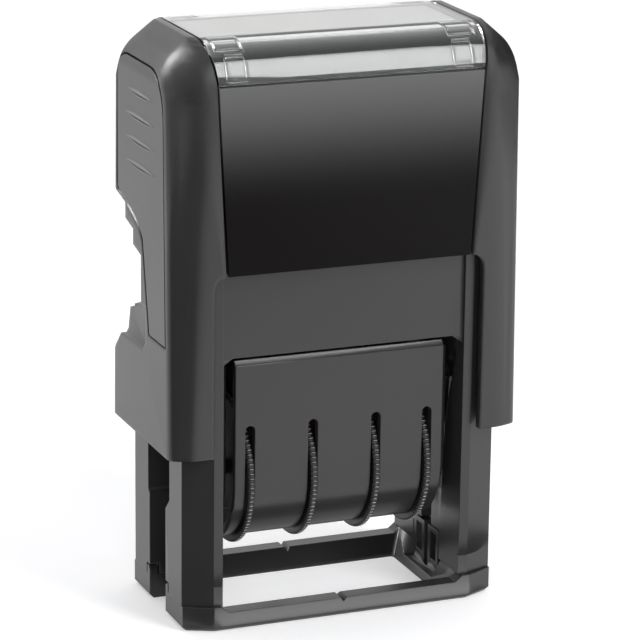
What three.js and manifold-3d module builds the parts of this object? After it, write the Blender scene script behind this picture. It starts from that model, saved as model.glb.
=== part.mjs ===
// A self-inking date stamp: a sprung cap turns a date unit over between its ink pad and the paper.
// Millimetres, +Z up, the front towards -Y, the origin on the desk under the middle.

import * as THREE from "three";
import { mergeVertices } from "three/addons/utils/BufferGeometryUtils.js";
import Module from "manifold-3d";

const wasm = await Module();
wasm.setup();

// Clearances
const gap = 0.3;
const runningGap = 0.15;
const slideGap = 0.2;
const overrun = 2;

// Motion
const pressStroke = 20;

// Foot ring
const footHalfDepth = 12.32;
const footCornerWide = 4.03;
const footCornerDeep = 2.02;
const footHeight = 3.63;
const footBevel = 0.6;
const barHeight = 2.75;
const barInset = 0.8;
const barRampLength = 1.1;
const printInset = 1.95;
const printInsetDeep = 4.72;
const printFlareWide = 0.61;
const printFlareDeep = 0.84;
const markWidth = 1.2;
const markDepth = 0.6;
const sillHeight = 1.1;
const sillHalfLength = 5;
const tongueHeight = 7.7;
const tongueThickness = 1.5;
const tongueWidth = 3.65;
const tonguePitch = 4.95;
const tongueFrame = 0.8;
const earWidth = 1;
const earThickness = 1.2;
const earHeight = 1.3;

// Frame
const columnWidth = 5.52;
const windowRise = 6.5;
const windowCornerWide = 1.55;
const windowCornerTall = 1.3;
const stripWidth = 1.35;
const stripSetback = 0.67;
const facetDepth = 1.75;
const webThickness = 1.8;
const slotFront = 4.85;
const slotRear = 4.2;
const slotNarrowFront = 3.2;
const slotNarrowRear = 3.6;
const slotNarrowTop = 16;
const slotHeadroom = 5;
const panelSetback = 0.65;
const panelThickness = 1.2;
const railWidth = 1.5;
const railHeight = 1;
const roofThickness = 1.3;
const shoulderCutDrop = 3.5;
const shoulderCutDepth = 4.6;
const shoulderCutWidth = 2;
const rearSetback = 1.75;
const beamDepth = 2.8;
const springBossRadius = 3.4;
const springBossHeight = 2.8;

// Date unit
const endPlateGap = 0.6;
const endPlateThickness = 1.5;
const endPlateHalfDepth = 6.9;
const endPlateShoulder = 4;
const endPlateDrop = 0.8;
const bridgeReach = 11;
const bridgeHalfDepth = 3;
const bridgeFoot = 1;
const pinRadius = 1.5;
const pinSeat = 0.1;
const lugRadius = 1.2;
const lugOffset = 5.5;
const lugLength = 1.3;
const grooveDepth = 1;
const wheelDrop = 12.8;
const wheelRadius = 11;
const wheelThickness = 0.95;
const wheelProud = 1.05;
const toothDepth = 0.3;
const drumRadius = 4.2;
const shaftRadius = 1.2;
const dayDrumLength = 4.1;
const monthDrumLength = 8.3;
const yearDrumLength = 6.6;
const wheelMargin = 2.2;
const wheelMarginRight = 2.35;
const bandThickness = 0.9;
const bandEdgeGap = 0.2;
const typeRelief = 0.7;
const typeWidth = 3.6;
const typeRoot = 0.5;
const typeFloorGap = 0.1;
const coverThickness = 1.1;
const coverBevel = 0.7;
const coverDrop = 0.9;
const coverRearDrop = 1;
const coverSlotRise = 8.9;

// Ink cartridge
const padThickness = 4;
const padInset = 2.5;
const padWall = 2.4;
const padFloor = 3.3;
const cartridgeSideGap = 0.5;
const cartridgeFrontGap = 0.4;
const flangeThickness = 1.4;
const flangeReach = 1.5;

// Cap shell
const capBottom = 26;
const capSideGap = 0.68;
const capSideWall = 1.9;
const capFaceGap = 0.4;
const capFaceWall = 1.25;
const capFacetWall = 0.95;
const capCrownGap = 1.4;
const crownDepth = 7.3;
const archRadius = 4.8;
const slantDegrees = 36.7;
const shoulderRadius = 6;
const crownInset = 4.9;
const sideEdgeInsetBottom = 1.1;
const sideEdgeInsetArch = 2.4;
const sideEdgeInsetTop = 0.3;
const faceEdgeInsetBottom = 3.15;
const faceEdgeInsetArch = 4.8;
const faceEdgeInsetTop = 1;
const cornerReach = 1.1;
const topCornerShare = 0.15;
const openingInset = 6.13;
const openingOverlap = 3.45;
const openingCornerWide = 2.07;
const openingCornerTall = 2.3;
const rearOpeningRise = 4.4;
const bossRadius = 2.4;
const wellRadius = 6.5;
const deckWall = 1.5;
const crownRib = 1.7;
const crownPocketInset = 2.8;
const crownPocketInsetDeep = 1.3;

// Finger cut-outs at the rear of each side
const cutFront = 0.3;
const cutDrop = 0.8;
const cutSteps = 3;
const cutStepDepth = 3.3;
const cutStepRise = 2.2;
const cutStepSlope = 0.8;
const cutFirstRise = 7;
const skirtShelfDepth = 6.6;
const skirtShelfDrop = 2.3;
const skirtNeckDrop = 5.6;
const skirtShoulderDrop = 10.4;
const scoopDepth = 0.8;
const scoopFront = 2.2;
const scoopDrop = 6.5;
const scoopCorner = 1.4;

// Side plates
const plateThickness = 0.8;
const plateFrontRim = 1.45;
const plateRearRim = 1.5;
const plateTopDrop = 4.6;
const plateCorner = 3.6;
const plateFrontCorner = 6.6;
const plateBottomDrop = 3.5;
const plateFootRear = 3.9;
const plateNeckRear = 1.2;
const plateNeckRise = 9.5;
const plateTailRise = 13.9;
const plateRearRise = 0.8;
const ridgeLength = 12.6;
const ridgeWidth = 1.6;
const ridgeRelief = 0.35;
const ridgePitch = 3.4;
const ridgeDrop = 1.23;
const ridgeRoom = 5;
const ridgeTilt = 0.5;

// Window, card and panels
const windowThickness = 0.9;
const windowRim = 0.7;
const windowDrop = 5.6;
const windowBottomInset = 1.8;
const cardInset = 2.24;
const cardInsetDeep = 0.47;
const cardThickness = 0.3;
const panelTopInset = 1.8;
const panelBottomInset = 2.07;
const labelThickness = 0.5;
const rearLabelRise = 0.6;

// Return spring
const springRadius = 4.6;
const springWire = 0.45;
const springTurns = 5;

// Fineness of round shapes
const roundSides = 32;
const archSteps = 4;
const shoulderSteps = 6;
const cornerSteps = 3;
const grooveSteps = 20;
const knurlTeeth = 100;
const typeCount = 11;
const springStepsPerTurn = 12;
const springSides = 6;
const curveSteps = 10;

// Widths that follow from the sizes above
const wheelSpan = 3 * (wheelThickness + gap) + 2 * dayDrumLength + monthDrumLength + yearDrumLength;
const coverHalfWidth = (wheelMargin + wheelSpan + wheelMarginRight) / 2;
const endPlateInner = coverHalfWidth + gap;
const endPlateOuter = endPlateInner + endPlateThickness;
const windowHalfWidth = endPlateOuter + endPlateGap;
const windowStripEdge = windowHalfWidth + stripWidth;
const webOuter = windowHalfWidth + webThickness;
const footHalfWidth = windowHalfWidth + columnWidth;
const barHalfLength = windowHalfWidth - barInset;
const printHalfWidth = windowHalfWidth - printInset;
const padHalfWidth = windowHalfWidth - padInset;
const flangeHalfWidth = windowHalfWidth + flangeReach;
const capHalfWidth = footHalfWidth + capSideGap + capSideWall;
const pinOuter = capHalfWidth - capSideWall + pinSeat;
const topHalfWidth = capHalfWidth - crownInset;
const faceEdgeBottom = capHalfWidth - faceEdgeInsetBottom;
const faceEdgeArch = capHalfWidth - faceEdgeInsetArch;
const faceEdgeTop = topHalfWidth - faceEdgeInsetTop;
const openingHalfWidth = capHalfWidth - openingInset;
const windowBottomHalfWidth = topHalfWidth - windowBottomInset;
const panelTopHalfWidth = topHalfWidth - panelTopInset;
const panelBottomHalfWidth = openingHalfWidth - panelBottomInset;
const cardHalfWidth = topHalfWidth - cardInset;
const crownPocketFrom = wellRadius + crownRib;
const crownPocketTo = topHalfWidth - crownPocketInset;

// Depths that follow
const printHalfDepth = footHalfDepth - printInsetDeep;
const columnHalfDepth = footHalfDepth - stripSetback;
const panelFront = columnHalfDepth - panelSetback;
const panelBack = panelFront - panelThickness;
const frameRear = columnHalfDepth - rearSetback;
const padHalfDepth = panelBack - cartridgeFrontGap - padWall;
const flangeRear = columnHalfDepth;
const capHalfDepth = columnHalfDepth + capFaceGap + capFaceWall;
const topHalfDepth = capHalfDepth - shoulderRadius;
const sideEdgeBottom = capHalfDepth - sideEdgeInsetBottom;
const sideEdgeArch = capHalfDepth - sideEdgeInsetArch;
const sideEdgeTop = topHalfDepth - sideEdgeInsetTop;
const cardHalfDepth = topHalfDepth - cardInsetDeep;
const crownPocketHalfDepth = topHalfDepth - crownPocketInsetDeep;

// Date unit, from the paper up: the type prints when the stroke has brought the axle down
const typeReach = bridgeReach + gap + bandThickness + typeRelief;
const endPlateReach = bridgeReach - endPlateDrop;
const axleHeight = pressStroke + typeReach + typeFloorGap;
const wheelHeight = axleHeight - wheelDrop;
const bandBottomRadius = drumRadius + gap;
const bandTopRadius = bridgeHalfDepth + gap;
const bandTopCentre = axleHeight + bridgeReach - bridgeHalfDepth;
const windowTop = axleHeight + windowRise;
const slotTop = axleHeight + slotHeadroom;
const coverRadius = wheelRadius - wheelProud;
const coverTop = windowTop - coverDrop;
const coverRearTop = axleHeight - coverRearDrop;
const coverSlotTop = wheelHeight + coverSlotRise;
const coverSlotWidth = wheelThickness + gap + slideGap;

// Cartridge and frame above the date unit
const cartridgeBottom = axleHeight + typeReach + gap;
const padBottom = cartridgeBottom;
const cartridgeTop = padBottom + padThickness + gap + padFloor;
const railTop = cartridgeBottom - slideGap;
const roofBottom = cartridgeTop + slideGap;
const frameTop = roofBottom + roofThickness;
const shoulderCutHeight = railTop - shoulderCutDrop;

// Cap above the frame
const cavityTop = frameTop + pressStroke + capCrownGap;
const height = cavityTop + crownDepth;
const shoulderHeight = height - shoulderRadius;
const slant = slantDegrees * Math.PI / 180;
const archInset = capHalfWidth - topHalfWidth - archRadius * (1 - Math.cos(slant));
const archTop = height - archInset / Math.tan(slant);
const archHeight = archTop - archRadius * Math.sin(slant);
const windowInset = windowThickness + gap;
const windowBottom = height - windowDrop;
const cardFloor = height - windowInset - cardThickness;
const wellTop = cardFloor - deckWall;
const openingTop = frameTop - openingOverlap;
const rearOpeningTop = cartridgeTop + rearOpeningRise;
const rearLabelBottom = rearOpeningTop + rearLabelRise;
const cutBottom = cartridgeBottom - cutDrop;
const skirtShelfHeight = cutBottom - skirtShelfDrop;
const skirtNeckHeight = cutBottom - skirtNeckDrop;
const skirtShoulderHeight = cutBottom - skirtShoulderDrop;
const scoopBottom = cutBottom - scoopDrop;
const plateTop = height - plateTopDrop;
const plateBottom = cutBottom - plateBottomDrop;
const plateNeckHeight = cutBottom + plateNeckRise;
const plateTailHeight = cutBottom + plateTailRise;
const ridgeHighest = archHeight - ridgeDrop;
const ridgeCount = Math.floor((ridgeHighest - plateTailHeight - ridgeRoom) / ridgePitch) + 1;

// Geometry helpers

function solidOf(geometry) {
  const bare = geometry.clone();
  bare.deleteAttribute("normal");
  bare.deleteAttribute("uv");
  const merged = mergeVertices(bare);
  return new wasm.Manifold(new wasm.Mesh({
    numProp: 3,
    vertProperties: new Float32Array(merged.attributes.position.array),
    triVerts: new Uint32Array(merged.index.array),
  }));
}

function geometryOf(solid) {
  const mesh = solid.getMesh();
  const positions = new Float32Array(mesh.numVert * 3);
  for (let vertex = 0; vertex < mesh.numVert; vertex += 1) {
    for (let axis = 0; axis < 3; axis += 1) {
      positions[vertex * 3 + axis] = mesh.vertProperties[vertex * mesh.numProp + axis];
    }
  }
  const geometry = new THREE.BufferGeometry();
  geometry.setAttribute("position", new THREE.BufferAttribute(positions, 3));
  geometry.setIndex(new THREE.BufferAttribute(new Uint32Array(mesh.triVerts), 1));
  geometry.computeVertexNormals();
  return geometry;
}

function joined(solids) {
  return solids.reduce((whole, piece) => whole.add(piece));
}

function cutBy(solid, cutters) {
  return cutters.reduce((rest, cutter) => rest.subtract(cutter), solid);
}

// A box between two corners; each pair of ends may come in either order
function block(x, y, z) {
  const size = [x, y, z].map(([from, to]) => Math.abs(to - from));
  const centre = [x, y, z].map(([from, to]) => (from + to) / 2);
  return solidOf(new THREE.BoxGeometry(...size).translate(...centre));
}

// An outline drawn in (y, z) and run along X
function runAlongX(outline, from, to) {
  const geometry = new THREE.ExtrudeGeometry(outline, {
    depth: Math.abs(to - from), bevelEnabled: false, curveSegments: curveSteps,
  });
  geometry.translate(0, 0, Math.min(from, to));
  const axes = new THREE.Matrix4().makeBasis(
    new THREE.Vector3(0, 1, 0), new THREE.Vector3(0, 0, 1), new THREE.Vector3(1, 0, 0));
  return solidOf(geometry.applyMatrix4(axes));
}

// An outline drawn in (x, z) and run along Y
function runAlongY(outline, from, to) {
  const geometry = new THREE.ExtrudeGeometry(outline, {
    depth: Math.abs(to - from), bevelEnabled: false, curveSegments: curveSteps,
  });
  geometry.translate(0, 0, -Math.max(from, to));
  const axes = new THREE.Matrix4().makeBasis(
    new THREE.Vector3(1, 0, 0), new THREE.Vector3(0, 0, 1), new THREE.Vector3(0, -1, 0));
  return solidOf(geometry.applyMatrix4(axes));
}

// An outline drawn in (x, y) and run along Z
function runAlongZ(outline, from, to) {
  const geometry = new THREE.ExtrudeGeometry(outline, {
    depth: Math.abs(to - from), bevelEnabled: false, curveSegments: curveSteps,
  });
  return solidOf(geometry.translate(0, 0, Math.min(from, to)));
}

function polygon(points) {
  return new THREE.Shape(points.map(([u, v]) => new THREE.Vector2(u, v)));
}

function mirrored(points, side) {
  return points.map(([u, v]) => [u * side, v]);
}

function rodAlongX(radius, from, to, y, z) {
  const rod = new THREE.CylinderGeometry(radius, radius, Math.abs(to - from), roundSides);
  return solidOf(rod.rotateZ(Math.PI / 2).translate((from + to) / 2, y, z));
}

function rodAlongY(radius, from, to, x, z) {
  const rod = new THREE.CylinderGeometry(radius, radius, Math.abs(to - from), roundSides);
  return solidOf(rod.translate(x, (from + to) / 2, z));
}

function rodAlongZ(radius, from, to) {
  const rod = new THREE.CylinderGeometry(radius, radius, Math.abs(to - from), roundSides);
  return solidOf(rod.rotateX(Math.PI / 2).translate(0, 0, (from + to) / 2));
}

// A solid skinned over level outlines with the same number of points, closed by a fan at each end
function skinned(levels) {
  const count = levels[0].points.length;
  const positions = [];
  const triangles = [];
  for (const { z, points } of levels) {
    for (const [x, y] of points) {
      positions.push(x, y, z);
    }
  }
  for (let level = 0; level + 1 < levels.length; level += 1) {
    for (let corner = 0; corner < count; corner += 1) {
      const next = (corner + 1) % count;
      const here = level * count;
      const above = here + count;
      triangles.push(here + corner, here + next, above + next);
      triangles.push(here + corner, above + next, above + corner);
    }
  }
  const last = (levels.length - 1) * count;
  for (let corner = 1; corner + 1 < count; corner += 1) {
    triangles.push(0, corner + 1, corner);
    triangles.push(last, last + corner, last + corner + 1);
  }
  const geometry = new THREE.BufferGeometry();
  geometry.setAttribute("position", new THREE.Float32BufferAttribute(positions, 3));
  geometry.setIndex(triangles);
  return solidOf(geometry);
}

// The eight corners of an oblong with cut corners, counter-clockwise from the right rear
function cutOblong(halfX, halfY, edgeX, edgeY) {
  const quarter = [[halfX, edgeY], [edgeX, halfY]];
  const turned = [[-edgeX, halfY], [-halfX, edgeY]];
  return [...quarter, ...turned, ...quarter.map(([x, y]) => [-x, -y]), ...turned.map(([x, y]) => [-x, -y])];
}

function straightBetween(value, from, to, atFrom, atTo) {
  return atFrom + (atTo - atFrom) * (value - from) / (to - from);
}

// Half-width of the cap at a height, drawn in by a wall: upright, then an arc, then a straight slant
function capHalfWidthAt(z, wall) {
  if (z <= archHeight) {
    return capHalfWidth - wall;
  }
  const arcRadius = archRadius - wall;
  if (z <= archHeight + arcRadius * Math.sin(slant)) {
    return capHalfWidth - archRadius + Math.sqrt(arcRadius ** 2 - (z - archHeight) ** 2);
  }
  return topHalfWidth + (height - z) * Math.tan(slant) - wall / Math.cos(slant);
}

// Half-depth of the cap at a height, drawn in by a wall: upright, then a quarter circle
function capHalfDepthAt(z, wall) {
  const rise = Math.max(z - shoulderHeight, 0);
  return topHalfDepth + Math.sqrt(Math.max((shoulderRadius - wall) ** 2 - rise ** 2, 0));
}

// The cap's plan at a height, drawn in by a wall at the sides, at the faces and at the facets between them
function capOutline(z, sideWall, faceWall, facetWall) {
  const below = z < archHeight;
  const sideEdge = below
    ? straightBetween(z, capBottom, archHeight, sideEdgeBottom, sideEdgeArch)
    : straightBetween(z, archHeight, height, sideEdgeArch, sideEdgeTop);
  const faceEdge = below
    ? straightBetween(z, capBottom, archHeight, faceEdgeBottom, faceEdgeArch)
    : straightBetween(z, archHeight, height, faceEdgeArch, faceEdgeTop);
  const halfX = capHalfWidthAt(z, sideWall);
  const halfY = capHalfDepthAt(z, faceWall);
  const outerX = capHalfWidthAt(z, 0);
  const slope = (capHalfDepthAt(z, 0) - sideEdge) / (outerX - faceEdge);
  const slanted = facetWall * Math.sqrt(1 + slope ** 2);
  const edgeY = sideEdge + (outerX - halfX) * slope - slanted;
  const edgeX = outerX - (halfY - sideEdge + slanted) / slope;
  return cutOblong(halfX, halfY, edgeX, edgeY);
}

// An outline with each corner rounded by a curve that starts and ends a reach from it
function roundedOutline(points, reach) {
  return points.flatMap(([x, y], index) => {
    const corner = new THREE.Vector2(x, y);
    const before = new THREE.Vector2(...points[(index + points.length - 1) % points.length]);
    const after = new THREE.Vector2(...points[(index + 1) % points.length]);
    const start = corner.clone().add(before.sub(corner).normalize().multiplyScalar(reach));
    const end = corner.clone().add(after.sub(corner).normalize().multiplyScalar(reach));
    return new THREE.QuadraticBezierCurve(start, corner, end).getPoints(cornerSteps).map((p) => [p.x, p.y]);
  });
}

// The heights at which the cap's form turns, for a form drawn in by a wall
function capHeights(wall) {
  const heights = [capBottom - overrun * Math.sign(wall), archHeight];
  for (let step = 1; step <= archSteps; step += 1) {
    heights.push(archHeight + (archRadius - wall) * Math.sin(slant * step / archSteps));
  }
  for (let step = 1; step <= shoulderSteps; step += 1) {
    heights.push(shoulderHeight + (shoulderRadius - wall) * Math.sin(Math.PI / 2 * step / shoulderSteps));
  }
  return heights.sort((low, high) => low - high);
}

function capForm(wall) {
  return skinned(capHeights(wall).map((z) => ({ z, points: capOutline(z, wall, wall, wall) })));
}

function roundedCapForm() {
  return skinned(capHeights(0).map((z) => {
    const share = straightBetween(Math.max(z, shoulderHeight), shoulderHeight, height, 1, topCornerShare);
    return { z, points: roundedOutline(capOutline(z, 0, 0, 0), cornerReach * share) };
  }));
}

const capOuter = roundedCapForm();

// What lies between the cap's surface and a depth below it
function capSkin(depth) {
  return capOuter.subtract(capForm(depth));
}

// The path of a lug or pin as the date unit goes down and turns over, in (y, z)
function turnedPlace(offset, turn) {
  return [
    offset * Math.cos(turn),
    axleHeight - pressStroke * turn / Math.PI + offset * Math.sin(turn),
  ];
}

// Foot ring

function footRing() {
  const footOutline = (inset) => cutOblong(
    footHalfWidth - inset, footHalfDepth - inset,
    footHalfWidth - footCornerWide - inset / 2, footHalfDepth - footCornerDeep - inset / 2);
  const printOutline = (z) => cutOblong(
    printHalfWidth + printFlareWide * z, printHalfDepth + printFlareDeep * z,
    printHalfWidth + printFlareWide * z - gap, printHalfDepth + printFlareDeep * z - gap);
  const ring = skinned([
    { z: 0, points: footOutline(footBevel) },
    { z: footBevel, points: footOutline(0) },
    { z: footHeight, points: footOutline(0) },
  ]);
  const printLevels = [-footBevel, footHeight + footBevel];
  const printHole = skinned(printLevels.map((z) => ({ z, points: printOutline(z) })));
  const rampEnd = barHalfLength + barRampLength;
  const barCut = runAlongY(polygon([
    [-rampEnd, footHeight + overrun], [-rampEnd, footHeight], [-barHalfLength, barHeight],
    [barHalfLength, barHeight], [rampEnd, footHeight], [rampEnd, footHeight + overrun],
  ]), -footHalfDepth - overrun, footHalfDepth + overrun);
  const markCut = runAlongY(polygon([
    [0, barHeight - markDepth], [markWidth / 2, barHeight + gap], [-markWidth / 2, barHeight + gap],
  ]), -footHalfDepth - overrun, footHalfDepth + overrun);
  let foot = cutBy(ring, [printHole, barCut, markCut]);
  for (const side of [-1, 1]) {
    const throughSlot = block([side * webOuter, side * (footHalfWidth + overrun)],
      [-slotNarrowFront, slotNarrowRear], [-overrun, footHeight + overrun]);
    const sill = block([side * (printHalfWidth - overrun), side * (webOuter + gap)],
      [-sillHalfLength, sillHalfLength], [sillHeight, footHeight + overrun]);
    foot = cutBy(foot, [throughSlot, sill]);
    for (const end of [-1, 1]) {
      foot = foot.add(snapTongue(side, end));
      foot = foot.add(slotEar(side, end));
    }
  }
  return foot;
}

// An upright tongue with a window, which snaps into the column above it
function snapTongue(side, end) {
  const across = [side * windowHalfWidth, side * (windowHalfWidth + tongueThickness)];
  const middle = end * tonguePitch / 2;
  const reach = tongueWidth / 2;
  const tongue = block(across, [middle - reach, middle + reach], [sillHeight / 2, tongueHeight]);
  const opening = block([across[0] - side * overrun, across[1] + side * overrun],
    [middle - reach + tongueFrame, middle + reach - tongueFrame],
    [sillHeight + 2 * tongueFrame, tongueHeight - tongueFrame]);
  return tongue.subtract(opening);
}

// A short upright ear that keys the foot into the column's leg beside the slot
function earPlace(end) {
  const edge = end < 0 ? -slotNarrowFront : slotNarrowRear;
  return [edge, edge + end * earWidth];
}

function slotEar(side, end) {
  const [inner, outer] = earPlace(end);
  const top = footHeight + earHeight;
  return runAlongX(polygon([
    [inner, footHeight / 2], [outer, footHeight / 2], [outer, top], [(inner + outer) / 2, top],
    [inner, top - earWidth / 2],
  ]), side * (footHalfWidth - earThickness), side * footHalfWidth);
}

// Frame

// The track that a lug of the date unit follows, cut into the column's inner face
function camGroove(side) {
  const half = lugRadius + runningGap + gap / 2;
  const middle = [];
  for (let step = 0; step <= grooveSteps; step += 1) {
    middle.push(new THREE.Vector2(...turnedPlace(-lugOffset, Math.PI * step / grooveSteps)));
  }
  const left = [];
  const right = [];
  middle.forEach((point, step) => {
    const before = middle[Math.max(step - 1, 0)];
    const after = middle[Math.min(step + 1, grooveSteps)];
    const across = after.clone().sub(before).normalize().rotateAround(new THREE.Vector2(), Math.PI / 2);
    left.push(point.clone().addScaledVector(across, half));
    right.unshift(point.clone().addScaledVector(across, -half));
  });
  const roundEnd = (centre, from) => {
    const arm = from.clone().sub(centre);
    const turns = Array.from({ length: curveSteps - 1 }, (_, step) => -Math.PI * (step + 1) / curveSteps);
    return turns.map((turn) => arm.clone().rotateAround(new THREE.Vector2(), turn).add(centre));
  };
  const farEnd = roundEnd(middle[grooveSteps], left[grooveSteps]);
  const nearEnd = roundEnd(middle[0], right[grooveSteps]);
  return runAlongX(new THREE.Shape([...left, ...farEnd, ...right, ...nearEnd]),
    side * (windowHalfWidth - overrun), side * (windowHalfWidth + grooveDepth));
}

function column(side) {
  const facetCorner = columnHalfDepth - facetDepth;
  const plan = [
    [windowHalfWidth, -columnHalfDepth], [windowStripEdge, -columnHalfDepth], [footHalfWidth, -facetCorner],
    [footHalfWidth, facetCorner], [windowStripEdge, columnHalfDepth], [windowHalfWidth, columnHalfDepth],
  ];
  const post = runAlongZ(polygon(mirrored(plan, side)), footHeight, frameTop);
  const shoulderCut = runAlongZ(polygon(mirrored([
    [footHalfWidth, frameRear - shoulderCutDepth], [footHalfWidth + overrun, frameRear - shoulderCutDepth],
    [footHalfWidth + overrun, columnHalfDepth + overrun],
    [footHalfWidth - shoulderCutWidth, columnHalfDepth + overrun],
    [footHalfWidth - shoulderCutWidth, frameRear],
  ], side)), shoulderCutHeight, frameTop + overrun);
  const outerSlot = runAlongX(polygon([
    [-slotNarrowFront, footHeight - overrun], [slotNarrowRear, footHeight - overrun],
    [slotNarrowRear, slotNarrowTop], [slotRear, slotNarrowTop + slotRear - slotNarrowRear],
    [slotRear, slotTop], [-slotFront, slotTop],
    [-slotFront, slotNarrowTop + slotFront - slotNarrowFront], [-slotNarrowFront, slotNarrowTop],
  ]), side * webOuter, side * (footHalfWidth + overrun));
  const webFrom = side * (windowHalfWidth - overrun);
  const webTo = side * (webOuter + gap);
  const pinSlotHalf = pinRadius + gap;
  const pinSlot = block([webFrom, webTo], [-pinSlotHalf, pinSlotHalf], [footHeight - overrun, axleHeight]);
  const pinSlotEnd = rodAlongX(pinSlotHalf, webFrom, webTo, 0, axleHeight);
  const tongueRoom = tonguePitch / 2 + tongueWidth / 2 + gap;
  const tonguePocket = block([webFrom, webTo], [-tongueRoom, tongueRoom],
    [footHeight - overrun, tongueHeight + gap]);
  const earPockets = [-1, 1].map((end) => {
    const [inner, outer] = earPlace(end);
    return block([side * (footHalfWidth - earThickness - gap), side * (footHalfWidth + overrun)],
      [inner - end * overrun, outer + end * gap], [footHeight - overrun, footHeight + earHeight + gap]);
  });
  const pinCuts = [outerSlot, pinSlot, pinSlotEnd, camGroove(side)];
  return cutBy(post, [shoulderCut, ...pinCuts, tonguePocket, ...earPockets]);
}

function windowCorner(side) {
  return runAlongY(polygon(mirrored([
    [windowHalfWidth - windowCornerWide, windowTop + gap], [windowHalfWidth - windowCornerWide, windowTop],
    [windowHalfWidth + gap, windowTop - windowCornerTall], [windowHalfWidth + gap, windowTop + gap],
  ], side)), -panelFront, -panelBack);
}

function frameBody() {
  const reach = windowHalfWidth + gap;
  const across = [-reach, reach];
  const panel = block(across, [-panelFront, -panelBack], [windowTop, frameTop]);
  const beam = block(across, [panelBack, panelFront], [railTop - beamDepth, railTop - gap]);
  const roof = block(across, [-panelFront, frameRear], [roofBottom, frameTop]);
  const boss = rodAlongZ(springBossRadius, roofBottom, frameTop + springBossHeight);
  const rails = [-1, 1].map((side) => block([side * (windowHalfWidth - railWidth), side * reach],
    [-panelFront, frameRear], [railTop - railHeight, railTop]));
  const rearCut = block([-footHalfWidth - overrun, footHalfWidth + overrun],
    [frameRear, columnHalfDepth + overrun], [railTop - gap, frameTop + overrun]);
  const corners = [-1, 1].map(windowCorner);
  const columns = [-1, 1].map(column);
  return joined([...columns, panel, beam, roof, boss, ...rails, ...corners]).subtract(rearCut);
}

// Ink cartridge and pad

function inkCartridge() {
  const halfWidth = windowHalfWidth - cartridgeSideGap;
  const front = -panelBack + cartridgeFrontGap;
  const tray = block([-halfWidth, halfWidth], [front, flangeRear], [cartridgeBottom, cartridgeTop]);
  const flange = block([-flangeHalfWidth, flangeHalfWidth],
    [flangeRear - flangeThickness, flangeRear], [cartridgeBottom + gap, cartridgeTop]);
  const room = padThickness + gap;
  const recess = block([-padHalfWidth - gap, padHalfWidth + gap], [-padHalfDepth - gap, padHalfDepth + gap],
    [cartridgeBottom - overrun, padBottom + room]);
  return joined([tray, flange]).subtract(recess);
}

function inkPad() {
  return block([-padHalfWidth, padHalfWidth], [-padHalfDepth, padHalfDepth],
    [padBottom, padBottom + padThickness]);
}

// Date unit

function typeCarrier() {
  const plateOutline = new THREE.Shape();
  plateOutline.moveTo(-bridgeHalfDepth, axleHeight + endPlateReach);
  plateOutline.lineTo(-endPlateHalfDepth, axleHeight + endPlateShoulder);
  plateOutline.lineTo(-endPlateHalfDepth, wheelHeight);
  plateOutline.absarc(0, wheelHeight, endPlateHalfDepth, Math.PI, 2 * Math.PI, false);
  plateOutline.lineTo(endPlateHalfDepth, axleHeight + endPlateShoulder);
  plateOutline.lineTo(bridgeHalfDepth, axleHeight + endPlateReach);
  const barOutline = new THREE.Shape();
  barOutline.moveTo(-bridgeHalfDepth, axleHeight + bridgeFoot);
  barOutline.lineTo(bridgeHalfDepth, axleHeight + bridgeFoot);
  barOutline.lineTo(bridgeHalfDepth, bandTopCentre);
  barOutline.absarc(0, bandTopCentre, bridgeHalfDepth, 0, Math.PI, false);
  const bar = runAlongX(barOutline, -endPlateInner - gap, endPlateInner + gap);
  const ends = [-1, 1].map((side) => {
    const plate = runAlongX(plateOutline, side * endPlateInner, side * endPlateOuter);
    const lug = rodAlongX(lugRadius, side * endPlateInner, side * (endPlateOuter + lugLength),
      ...turnedPlace(-lugOffset, 0));
    const outward = side * (endPlateOuter + overrun);
    const inward = side * (endPlateInner - gap);
    const pinHole = rodAlongX(pinRadius + runningGap, side * endPlateInner, outward, 0, axleHeight);
    const shaftHole = rodAlongX(shaftRadius + runningGap, inward, outward, 0, wheelHeight);
    return cutBy(plate.add(lug), [pinHole, shaftHole]);
  });
  return joined([bar, ...ends]);
}

function dateCover() {
  const inner = coverRadius - coverThickness;
  const outline = new THREE.Shape();
  outline.moveTo(-coverRadius, wheelHeight);
  outline.absarc(0, wheelHeight, coverRadius, Math.PI, 2 * Math.PI, false);
  outline.lineTo(coverRadius, coverRearTop);
  outline.lineTo(inner, coverRearTop);
  outline.lineTo(inner, wheelHeight);
  outline.absarc(0, wheelHeight, inner, 0, -Math.PI, true);
  outline.lineTo(-inner, coverTop);
  outline.lineTo(-coverRadius + coverBevel, coverTop);
  outline.lineTo(-coverRadius, coverTop - coverBevel);
  const cover = runAlongX(outline, -coverHalfWidth, coverHalfWidth);
  const half = coverSlotWidth / 2;
  const low = wheelHeight - coverRadius - overrun;
  const reach = [-coverRadius - overrun, coverRadius + overrun];
  const slots = wheelPlaces().flatMap(({ disc }) => [
    block([disc - half, disc + half], reach, [low, coverSlotTop - half]),
    rodAlongY(half, ...reach, disc, coverSlotTop - half),
  ]);
  return cutBy(cover, slots);
}

// Each thumb wheel's disc place and the stretch of its drum, from the left
function wheelPlaces() {
  const half = wheelThickness / 2;
  const dayTens = -coverHalfWidth + wheelMargin;
  const dayUnits = dayTens + wheelThickness + 2 * dayDrumLength + gap;
  const month = dayUnits + wheelThickness + gap + monthDrumLength;
  const year = month + wheelThickness + gap + yearDrumLength;
  return [
    { name: "day_tens", disc: dayTens, drum: [dayTens + half, dayTens + half + dayDrumLength] },
    { name: "day_units", disc: dayUnits, drum: [dayUnits - half - dayDrumLength, dayUnits - half] },
    { name: "month", disc: month, drum: [month - half - monthDrumLength, month - half] },
    { name: "year", disc: year, drum: [year - half - yearDrumLength, year - half] },
  ];
}

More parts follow.
